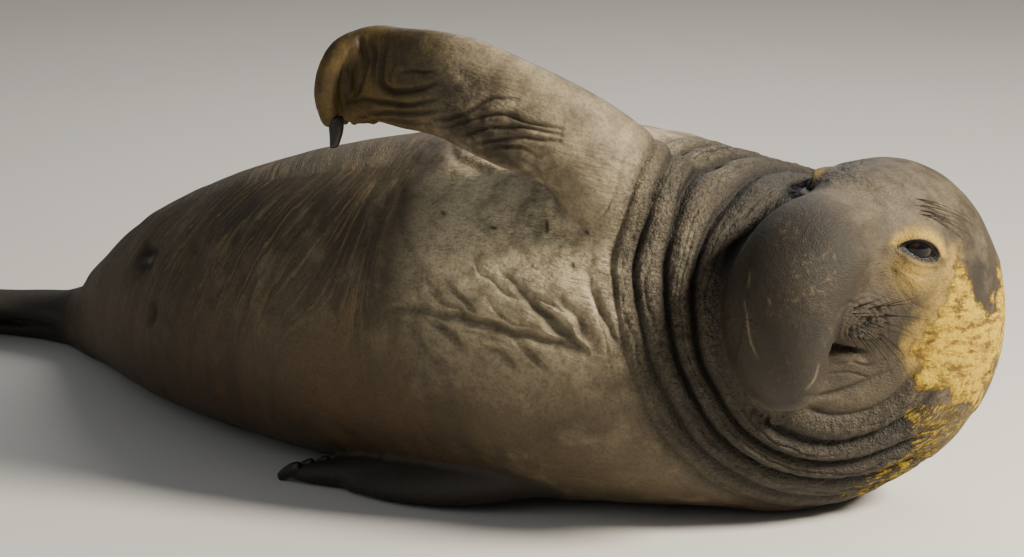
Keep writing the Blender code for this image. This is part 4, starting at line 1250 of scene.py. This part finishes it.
class Shade:
    """A material under construction: each call adds a node and gives its output."""

    def __init__(self, name):
        self.material = bpy.data.materials.new(name)
        self.material.use_nodes = True
        self.nodes = self.material.node_tree.nodes
        self.links = self.material.node_tree.links
        self.shader = self.nodes["Principled BSDF"]

    def node(self, kind, **settings):
        node = self.nodes.new(kind)
        for key, value in settings.items():
            setattr(node, key, value)
        return node

    def put(self, socket, value):
        if isinstance(value, bpy.types.NodeSocket):
            self.links.new(value, socket)
        elif socket.type == "RGBA":
            socket.default_value = (*value, 1.0)
        else:
            socket.default_value = value

    def math(self, operation, a, b=0.0, clamp=False):
        node = self.node("ShaderNodeMath", operation=operation, use_clamp=clamp)
        self.put(node.inputs[0], a)
        self.put(node.inputs[1], b)
        return node.outputs[0]

    def plus(self, a, b):
        return self.math("ADD", a, b)

    def times(self, a, b):
        return self.math("MULTIPLY", a, b)

    def mix(self, factor, a, b):
        node = self.node("ShaderNodeMix", data_type="RGBA")
        self.put(node.inputs["Factor"], factor)
        for socket, colour in zip([s for s in node.inputs if s.type == "RGBA"], (a, b)):
            self.put(socket, colour)
        return [s for s in node.outputs if s.type == "RGBA"][0]

    def texture(self, kind, values, output, **settings):
        node = self.node(kind, **settings)
        for name, value in values.items():
            self.put(node.inputs[name], value)
        return node.outputs[output]

    def ramp(self, value, low, high):
        values = {"Value": value, "From Min": low, "From Max": high}
        return self.texture("ShaderNodeMapRange", values, "Result", interpolation_type="SMOOTHSTEP")

    def place(self, vector=None, scale=(1.0, 1.0, 1.0)):
        if vector is None:
            vector = self.node("ShaderNodeTexCoord").outputs["Object"]
        return self.texture("ShaderNodeMapping", {"Vector": vector, "Scale": scale}, "Vector")

    def noise(self, vector, scale, detail=3.0, roughness=0.55):
        values = {"Vector": vector, "Scale": scale, "Detail": detail, "Roughness": roughness}
        return self.texture("ShaderNodeTexNoise", values, "Fac")

    def cells(self, vector, scale):
        values = {"Vector": vector, "Scale": scale}
        return self.texture("ShaderNodeTexVoronoi", values, "Distance", feature="F1")

    def marks(self, name):
        node = self.node("ShaderNodeVertexColor", layer_name=name)
        split = self.node("ShaderNodeSeparateColor")
        self.put(split.inputs[0], node.outputs["Color"])
        return tuple(split.outputs)

    def vector(self, name):
        return self.node("ShaderNodeAttribute", attribute_name=name).outputs["Vector"]

    def bump(self, height, distance, strength=1.0, under=None):
        values = {"Height": height, "Distance": distance, "Strength": strength}
        if under is not None:
            values["Normal"] = under
        return self.texture("ShaderNodeBump", values, "Normal")

    def finish(self, colour, roughness, normal=None, **constants):
        self.put(self.shader.inputs["Base Color"], colour)
        self.put(self.shader.inputs["Roughness"], roughness)
        if normal is not None:
            self.put(self.shader.inputs["Normal"], normal)
        for key, value in constants.items():
            self.shader.inputs[key.replace("_", " ")].default_value = value
        return self.material


def skin_material():
    s = Shade("seal_skin")
    here = s.place()
    flow = s.vector("Flow")
    rings = s.vector("Rings")
    grain = s.vector("Grain")
    crease_shade, sand, palm = s.marks("Marks")
    low, rugose, hair = s.marks("ShadedBellyNeckHair")
    dark, ochre, lid = s.marks("Darks")
    pale, darks_and_shade, chest = s.marks("Spots")
    sandy_folds, fur, pads = s.marks("Extras")
    nose, painted_sheen, under = s.marks("Tones")
    broad = s.noise(here, 3.4, 4.0)
    patchy = s.noise(here, 12.0, 5.0, 0.65)
    blotch = s.noise(here, 27.0, 5.0, 0.6)
    fine = s.noise(here, 150.0, 4.0, 0.6)
    streak = s.noise(s.place(flow, (4.5, 120.0, 120.0)), 1.0, 5.0, 0.75)
    wide_streak = s.noise(s.place(flow, (2.5, 26.0, 26.0)), 1.0, 3.0, 0.5)
    combed = s.noise(s.place(flow, (30.0, 420.0, 420.0)), 1.0, 3.0, 0.6)
    brushed = s.noise(s.place(grain, (45.0, 330.0, 330.0)), 1.0, 4.0, 0.6)
    lined = s.noise(s.place(grain, (14.0, 95.0, 95.0)), 1.0, 4.0, 0.6)

    bright = s.ramp(s.plus(blotch, s.times(broad, 0.6)), 0.55, 1.0)
    tan = s.times(chest, s.ramp(s.plus(lined, s.times(patchy, 0.5)), 0.72, 1.0))
    combings = s.times(s.ramp(wide_streak, 0.42, 0.62), hair)
    gilding = s.times(s.ramp(streak, 0.48, 0.66), hair)
    golden = s.times(palm, s.ramp(s.plus(patchy, s.times(blotch, 0.4)), 0.52, 0.92))
    flecks = s.ramp(s.noise(here, 95.0, 4.0, 0.7), 0.5, 0.66)
    freckled = s.mix(s.times(flecks, 0.8), NOSE_TONE_AND_SHADE, TAUPE)
    pits = s.times(rugose, s.ramp(fine, 0.6, 0.35))

    crusty = s.plus(s.times(s.noise(here, 38.0, 6.0, 0.88), 1.5), s.times(sand, 0.7))
    crust = s.times(s.ramp(crusty, 0.96, 1.26), s.ramp(sand, 0.0, 0.12))
    held = s.noise(s.place(rings, (45.0, 210.0, 210.0)), 1.0, 5.0, 0.75)
    held = s.ramp(s.plus(held, s.times(sandy_folds, 0.38)), 0.84, 0.96)
    crust = s.math("MAXIMUM", crust, s.times(held, sandy_folds))
    grains = s.mix(s.noise(here, 420.0, 3.0, 0.7), SAND_SHADE, SAND)
    smeared = s.noise(s.place(grain, (18.0, 48.0, 56.0)), 1.0, 5.0, 0.8)
    grains = s.mix(s.times(s.ramp(smeared, 0.42, 0.6), 0.85), grains, SAND_SHADE)
    damp = s.ramp(s.plus(smeared, s.times(blotch, 0.6)), 0.8, 0.96)
    grains = s.mix(s.times(damp, 0.75), grains, RUSSET)

    # Layers over the ground tone: where each lies, how strongly, and its tone
    layers = (
        (s.ramp(patchy, 0.47, 0.72), 0.6, SILVER),
        # Painted light on the chest
        (chest, s.plus(0.32, s.times(bright, 0.62)), CHEST_PAINTED_LIGHT),
        (fur, 0.5, NOSE_TONE_AND_SHADE),
        # Painted sheen on the tops
        (painted_sheen, s.times(bright, 0.6), SHEEN_PALE),
        # Painted shade under the raised flipper
        (under, s.ramp(patchy, 0.62, 0.36), UMBER),
        (tan, 0.45, TAN),
        (combings, 0.7, UMBER),
        (gilding, 0.7, GOLD),
        # Reddish brown low belly, with painted shade low down
        (low, 0.8, s.mix(s.ramp(wide_streak, 0.3, 0.7), RUSSET, UMBER)),
        (palm, 0.8, PALM_DARK),
        (golden, 0.8, PALM),
        # Nose: its dark brown, with painted shade
        (nose, 0.92, s.mix(s.ramp(patchy, 0.42, 0.7), NOSE_TONE_AND_SHADE, freckled)),
        (dark, 0.88, FLIPPER),
        # Neck skin darker, partly painted shade
        (rugose, 0.72, NECK_TONE_AND_SHADE),
        (pits, 0.5, SHADE_AND_SCAR_DARK),
        (ochre, s.ramp(blotch, 0.1, 0.55), OCHRE),
        (pads, s.ramp(s.noise(here, 70.0, 3.0), 0.62, 0.42), UMBER),
        # Painted shade in the creases and folds
        (crease_shade, 0.92, SHADE_AND_SCAR_DARK),
        # Dark scars, stains and strips, with painted shade
        (darks_and_shade, 0.85, SHADE_AND_SCAR_DARK),
        # Pale scars, with a painted highlight
        (pale, 0.7, SCAR),
        (crust, 1.0, grains),
        (lid, 1.0, LID),
        (s.ramp(fine, 0.6, 0.25), 0.4, SHADE_AND_SCAR_DARK),
    )
    colour = s.mix(s.ramp(broad, 0.34, 0.66), UMBER, TAUPE)
    for place, strength, tone in layers:
        colour = s.mix(s.times(place, strength), colour, tone)

    rough = s.plus(s.plus(0.48, s.times(patchy, 0.22)), s.times(crust, 0.4))
    rough = s.math("SUBTRACT", rough, s.times(lid, 0.25), clamp=True)
    wrinkle = s.noise(s.place(rings, (60.0, 190.0, 190.0)), 1.0, 4.0, 0.65)
    knob = s.ramp(s.cells(here, 190.0), 0.0, 0.75)
    rugged = s.times(s.math("SUBTRACT", wrinkle, s.times(knob, 0.3)), rugose)
    hairs = s.plus(s.times(combed, hair), s.times(brushed, s.math("MAXIMUM", fur, chest)))
    # Reliefs, one on the other: height, its reach in metres, and its strength
    reliefs = (
        (s.noise(here, 48.0, 5.0, 0.6), 0.004, 0.5),
        (rugged, 0.007, 0.8),
        (s.times(s.noise(here, 210.0, 3.0), pads), 0.004, 0.8),
        (s.times(lined, s.math("MAXIMUM", chest, under)), 0.011, 0.9),
        (hairs, 0.0032, 0.9),
        (s.times(crusty, crust), 0.006, 0.8),
        (s.noise(here, 520.0, 2.0), 0.001, 0.6),
    )
    normal = None
    for relief in reliefs:
        normal = s.bump(*relief, normal)
    return s.finish(colour, rough, normal, Specular_IOR_Level=0.3)


def eye_material():
    s = Shade("eye")
    iris, pupil, _ = s.marks("Marks")
    fibres = s.noise(s.place(), 160.0, 3.0)
    colour = s.mix(s.times(iris, s.ramp(fibres, 0.2, 0.8)), PUPIL, IRIS)
    colour = s.mix(pupil, colour, PUPIL)
    return s.finish(colour, 0.05, None, Specular_IOR_Level=0.22)


def claw_material():
    s = Shade("claw")
    grain = s.noise(s.place(None, (60.0, 60.0, 60.0)), 6.0, 4.0)
    colour = s.mix(s.ramp(grain, 0.35, 0.75), HORN, HORN_PALE)
    rough = s.math("ADD", 0.28, s.times(grain, 0.25))
    return s.finish(colour, rough, s.bump(grain, 0.0008, 0.7))


def bristle_material():
    s = Shade("bristle")
    grain = s.noise(s.place(), 300.0, 2.0)
    normal = s.bump(grain, 0.0002, 0.5)
    return s.finish(s.mix(grain, BRISTLE, HORN), 0.6, normal, Specular_IOR_Level=0.2)


def floor_material():
    s = Shade("floor")
    return s.finish(s.mix(s.noise(s.place(), 2.0, 3.0), *FLOOR_TONES), 0.85)


# Lights: how far right, to the camera and up of the middle, then size, power and colour
LIGHTS = (
    ("key", 4.1, 1.8, 2.3, 1.3, 760.0, (1.0, 0.92, 0.79)),
    ("fill", -3.5, 3.0, 1.8, 4.0, 30.0, (0.88, 0.94, 1.0)),
    ("rim", 0.5, -3.5, 3.6, 3.0, 70.0, (1.0, 0.98, 0.95)),
)
STUDIO_TONE = (0.9, 0.92, 0.95, 1.0)
STUDIO_POWER = 0.2
# How much the claws swell over their solids, and the eyeballs: how flat and how long they
# are, and how far the cornea, iris and pupil spread from their middle, in radians
CLAW_SWELL = 0.0042
EYE_FLAT = 0.965
EYE_LONG = 1.14
CORNEA_SPREAD = 0.55
IRIS_SPREAD = 0.8
PUPIL_SPREAD = 0.42
BRISTLE_STEPS = 7
BRISTLE_SIDES = 5
# Whiskers: first root, the steps between rows and along a row, and the lift of each row, all
# in the head's directions. The hairs over the eyes have a first root and a step too. Both have
# how far their roots stray, their lengths and their thickness, and ROOT_DEPTH is for all.
PAD_ROWS = 5
PAD_COLUMNS = 5
PAD_FIRST = (0.15, 0.14, -0.118)
PAD_ROW_STEP = (-0.004, 0.0, -0.016)
PAD_STEP = (-0.022, 0.0, 0.0)
PAD_LIFT = (0.55, 0.22, 0.0, -0.15, -0.3)
PAD_STRAY = 0.004
PAD_LENGTHS = (0.055, 0.085)
PAD_HAIR = 0.0012
BROW_COUNT = 16
BROW_FIRST = (-0.004, 0.066, 0.074)
BROW_STEP = (0.004, 0.009, -0.004)
BROW_STRAY = 0.006
BROW_LENGTHS = (0.07, 0.145)
BROW_HAIR = 0.0009
ROOT_DEPTH = 0.003


def head_direction(v):
    return np.asarray(v, float) @ HEAD_AXES


def aimed(ob, place, target):
    back = unit(np.asarray(place) - np.asarray(target))
    right = unit(np.cross((0.0, 0.0, 1.0), back))
    up = np.cross(back, right)
    m = Matrix((tuple(right), tuple(up), tuple(back))).transposed().to_4x4()
    ob.matrix_world = Matrix.Translation(tuple(place)) @ m


def add_camera():
    data = bpy.data.cameras.new("camera")
    data.sensor_width = SENSOR
    data.lens = SENSOR * PIXELS_PER_METRE * VIEW_DISTANCE / PHOTO_WIDTH
    data.clip_end = 200.0
    camera = new_object("camera", data)
    aimed(camera, np.asarray(LOOK_AT) + VIEW_BACK * VIEW_DISTANCE, LOOK_AT)
    bpy.context.scene.camera = camera


def add_stage():
    bm = bmesh.new()
    bmesh.ops.create_grid(bm, x_segments=8, y_segments=8, size=60.0)
    floor = new_object("floor", mesh_of("floor", bm))
    floor.data.materials.append(floor_material())
    middle = np.asarray(LOOK_AT)
    for name, right, back, up, size, power, colour in LIGHTS:
        data = bpy.data.lights.new(name, "AREA")
        data.shape = "DISK"
        data.size = size
        data.energy = power
        data.color = colour
        place = middle + right * VIEW_RIGHT + back * VIEW_BACK + (0.0, 0.0, up)
        aimed(new_object(name, data), place, middle)
    world = bpy.data.worlds.new("studio")
    world.use_nodes = True
    back = world.node_tree.nodes["Background"]
    back.inputs["Color"].default_value = STUDIO_TONE
    back.inputs["Strength"].default_value = STUDIO_POWER
    bpy.context.scene.world = world


def smooth_copy(name, nodes, levels):
    """A rounded copy of some of the solids as one piece."""
    bm = bmesh.new()
    for node in nodes:
        bm.from_mesh(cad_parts[node].data)
    bmesh.ops.remove_doubles(bm, verts=bm.verts, dist=1e-5)
    ob = new_object(name, mesh_of(name, bm))
    modified(ob, "SUBSURF", levels=levels, render_levels=levels)
    set_points(ob.data, points_of(ob.data) + CLAW_SWELL * normals_of(ob.data))
    ob.data.shade_smooth()
    return ob


def eyeball(name, sign):
    """Eyeball with a bulging cornea, marked with its iris and pupil."""
    bm = bmesh.new()
    radii = tuple(EYE_RADIUS * EYE_FLAT * k for k in (1.0, EYE_LONG, 1.0))
    m = matrix_of(eye_centre(sign), radii, eye_axes(sign))
    bmesh.ops.create_icosphere(bm, subdivisions=6, radius=1.0, matrix=m)
    mesh = mesh_of(name, bm)
    co = points_of(mesh)
    q = eye_place(co, sign)
    off = np.arccos(np.clip(q[:, 0] / lengths(q), -1.0, 1.0))
    bulge = bell(off, CORNEA_SPREAD) * EYE_RADIUS * (1.0 - EYE_FLAT)
    middle = single(eye_centre(sign))
    out = (co - middle) / lengths(co - middle)[:, None]
    set_points(mesh, co + out * bulge[:, None])
    iris = ease(IRIS_SPREAD - off, -0.03, 0.03)
    mark(mesh, "Marks", iris, ease(PUPIL_SPREAD - off, -0.03, 0.03), iris)
    mesh.shade_smooth()
    return new_object(name, mesh)


def bristle(bm, root, aim, bend, length, radius):
    """Thin tapered hair that curves as it leaves the skin."""
    aim = unit(aim)
    side = unit(np.cross(aim, (0.3, 0.5, 0.8)))
    rings = []
    for i in range(BRISTLE_STEPS + 1):
        t = i / BRISTLE_STEPS
        middle = root + length * (t * aim + t * t * np.asarray(bend))
        along = unit(aim + 2.0 * t * np.asarray(bend))
        u = unit(side - (side @ along) * along)
        v = np.cross(along, u)
        r = radius * (1.0 - 0.85 * t)
        ring = []
        for k in range(BRISTLE_SIDES):
            turn = 2.0 * math.pi * k / BRISTLE_SIDES
            ring.append(bm.verts.new(middle + r * (math.cos(turn) * u + math.sin(turn) * v)))
        rings.append(ring)
    for low, high in zip(rings, rings[1:]):
        for k in range(BRISTLE_SIDES):
            n = (k + 1) % BRISTLE_SIDES
            bm.faces.new((low[k], low[n], high[n], high[k]))
    bm.faces.new(rings[0][::-1])
    bm.faces.new(rings[-1])


def rooted(place, sign):
    """Root of a hair just under the skin of one side of the face, and the outward direction."""
    ahead, left, up = place
    spot, outward = on_skin(face_form, head_point((ahead, sign * left, up)))
    return spot - outward * ROOT_DEPTH, outward


def whiskers():
    """Whiskers of both lip pads and the tufts over both eyes."""
    rng = np.random.default_rng(7)
    bm = bmesh.new()
    for sign in (1, -1):
        for row in range(PAD_ROWS):
            for k in range(PAD_COLUMNS):
                place = np.array(PAD_FIRST) + row * np.array(PAD_ROW_STEP) + k * np.array(PAD_STEP)
                root, outward = rooted(place + rng.uniform(-PAD_STRAY, PAD_STRAY, 3), sign)
                aim = 0.8 * outward + head_direction((-0.9, 0.3 * sign, PAD_LIFT[row]))
                bend = head_direction((-0.1, -0.22 * sign, -0.16 + rng.uniform(-0.08, 0.08)))
                length = rng.uniform(*PAD_LENGTHS) * (0.8 + 0.12 * k)
                bristle(bm, root, aim, bend, 1.1 * length, PAD_HAIR)
        for k in range(BROW_COUNT):
            place = np.array(BROW_FIRST) + (k % 4) * np.array(BROW_STEP)
            root, outward = rooted(place + rng.uniform(-BROW_STRAY, BROW_STRAY, 3), sign)
            lift = 0.16 if sign > 0 else 0.05
            aim = lift * outward + head_direction((-0.8, 0.42 * sign, 0.1 - 0.05 * (k // 4)))
            bend = head_direction((-0.05, 0.05 * sign, -0.26 + rng.uniform(-0.07, 0.07)))
            bristle(bm, root, aim, bend, rng.uniform(*BROW_LENGTHS), BROW_HAIR)
    mesh = mesh_of("whiskers", bm)
    mesh.shade_smooth()
    return new_object("whiskers", mesh)


def finished(ob, material, slot, *nodes):
    ob.data.materials.clear()
    ob.data.materials.append(material)
    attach(ob, "root")
    if nodes:
        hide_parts(*nodes)
    return ob


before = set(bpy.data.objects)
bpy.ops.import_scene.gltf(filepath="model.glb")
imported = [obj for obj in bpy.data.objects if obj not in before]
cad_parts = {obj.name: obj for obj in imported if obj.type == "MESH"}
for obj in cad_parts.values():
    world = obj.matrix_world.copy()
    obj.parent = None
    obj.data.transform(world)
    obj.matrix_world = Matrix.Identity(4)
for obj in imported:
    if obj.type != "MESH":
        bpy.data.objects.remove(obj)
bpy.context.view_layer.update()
add_camera()
add_stage()

skin = fused_skin()
refined(skin)
worked_skin(skin)
finished(skin, skin_material(), "skin", *FLESH_NODES)
finished(whiskers(), bristle_material(), "claw")

wet = eye_material()
for side, sign in (("left", 1), ("right", -1)):
    finished(eyeball("eyeball_" + side, sign), wet, "eye", "eye_" + side)
horn = claw_material()
for side in ("left", "right"):
    names = ["claw_%s_%d" % (side, i) for i in range(1, 6)]
    finished(smooth_copy("claws_" + side, names, 2), horn, "claw", *names)
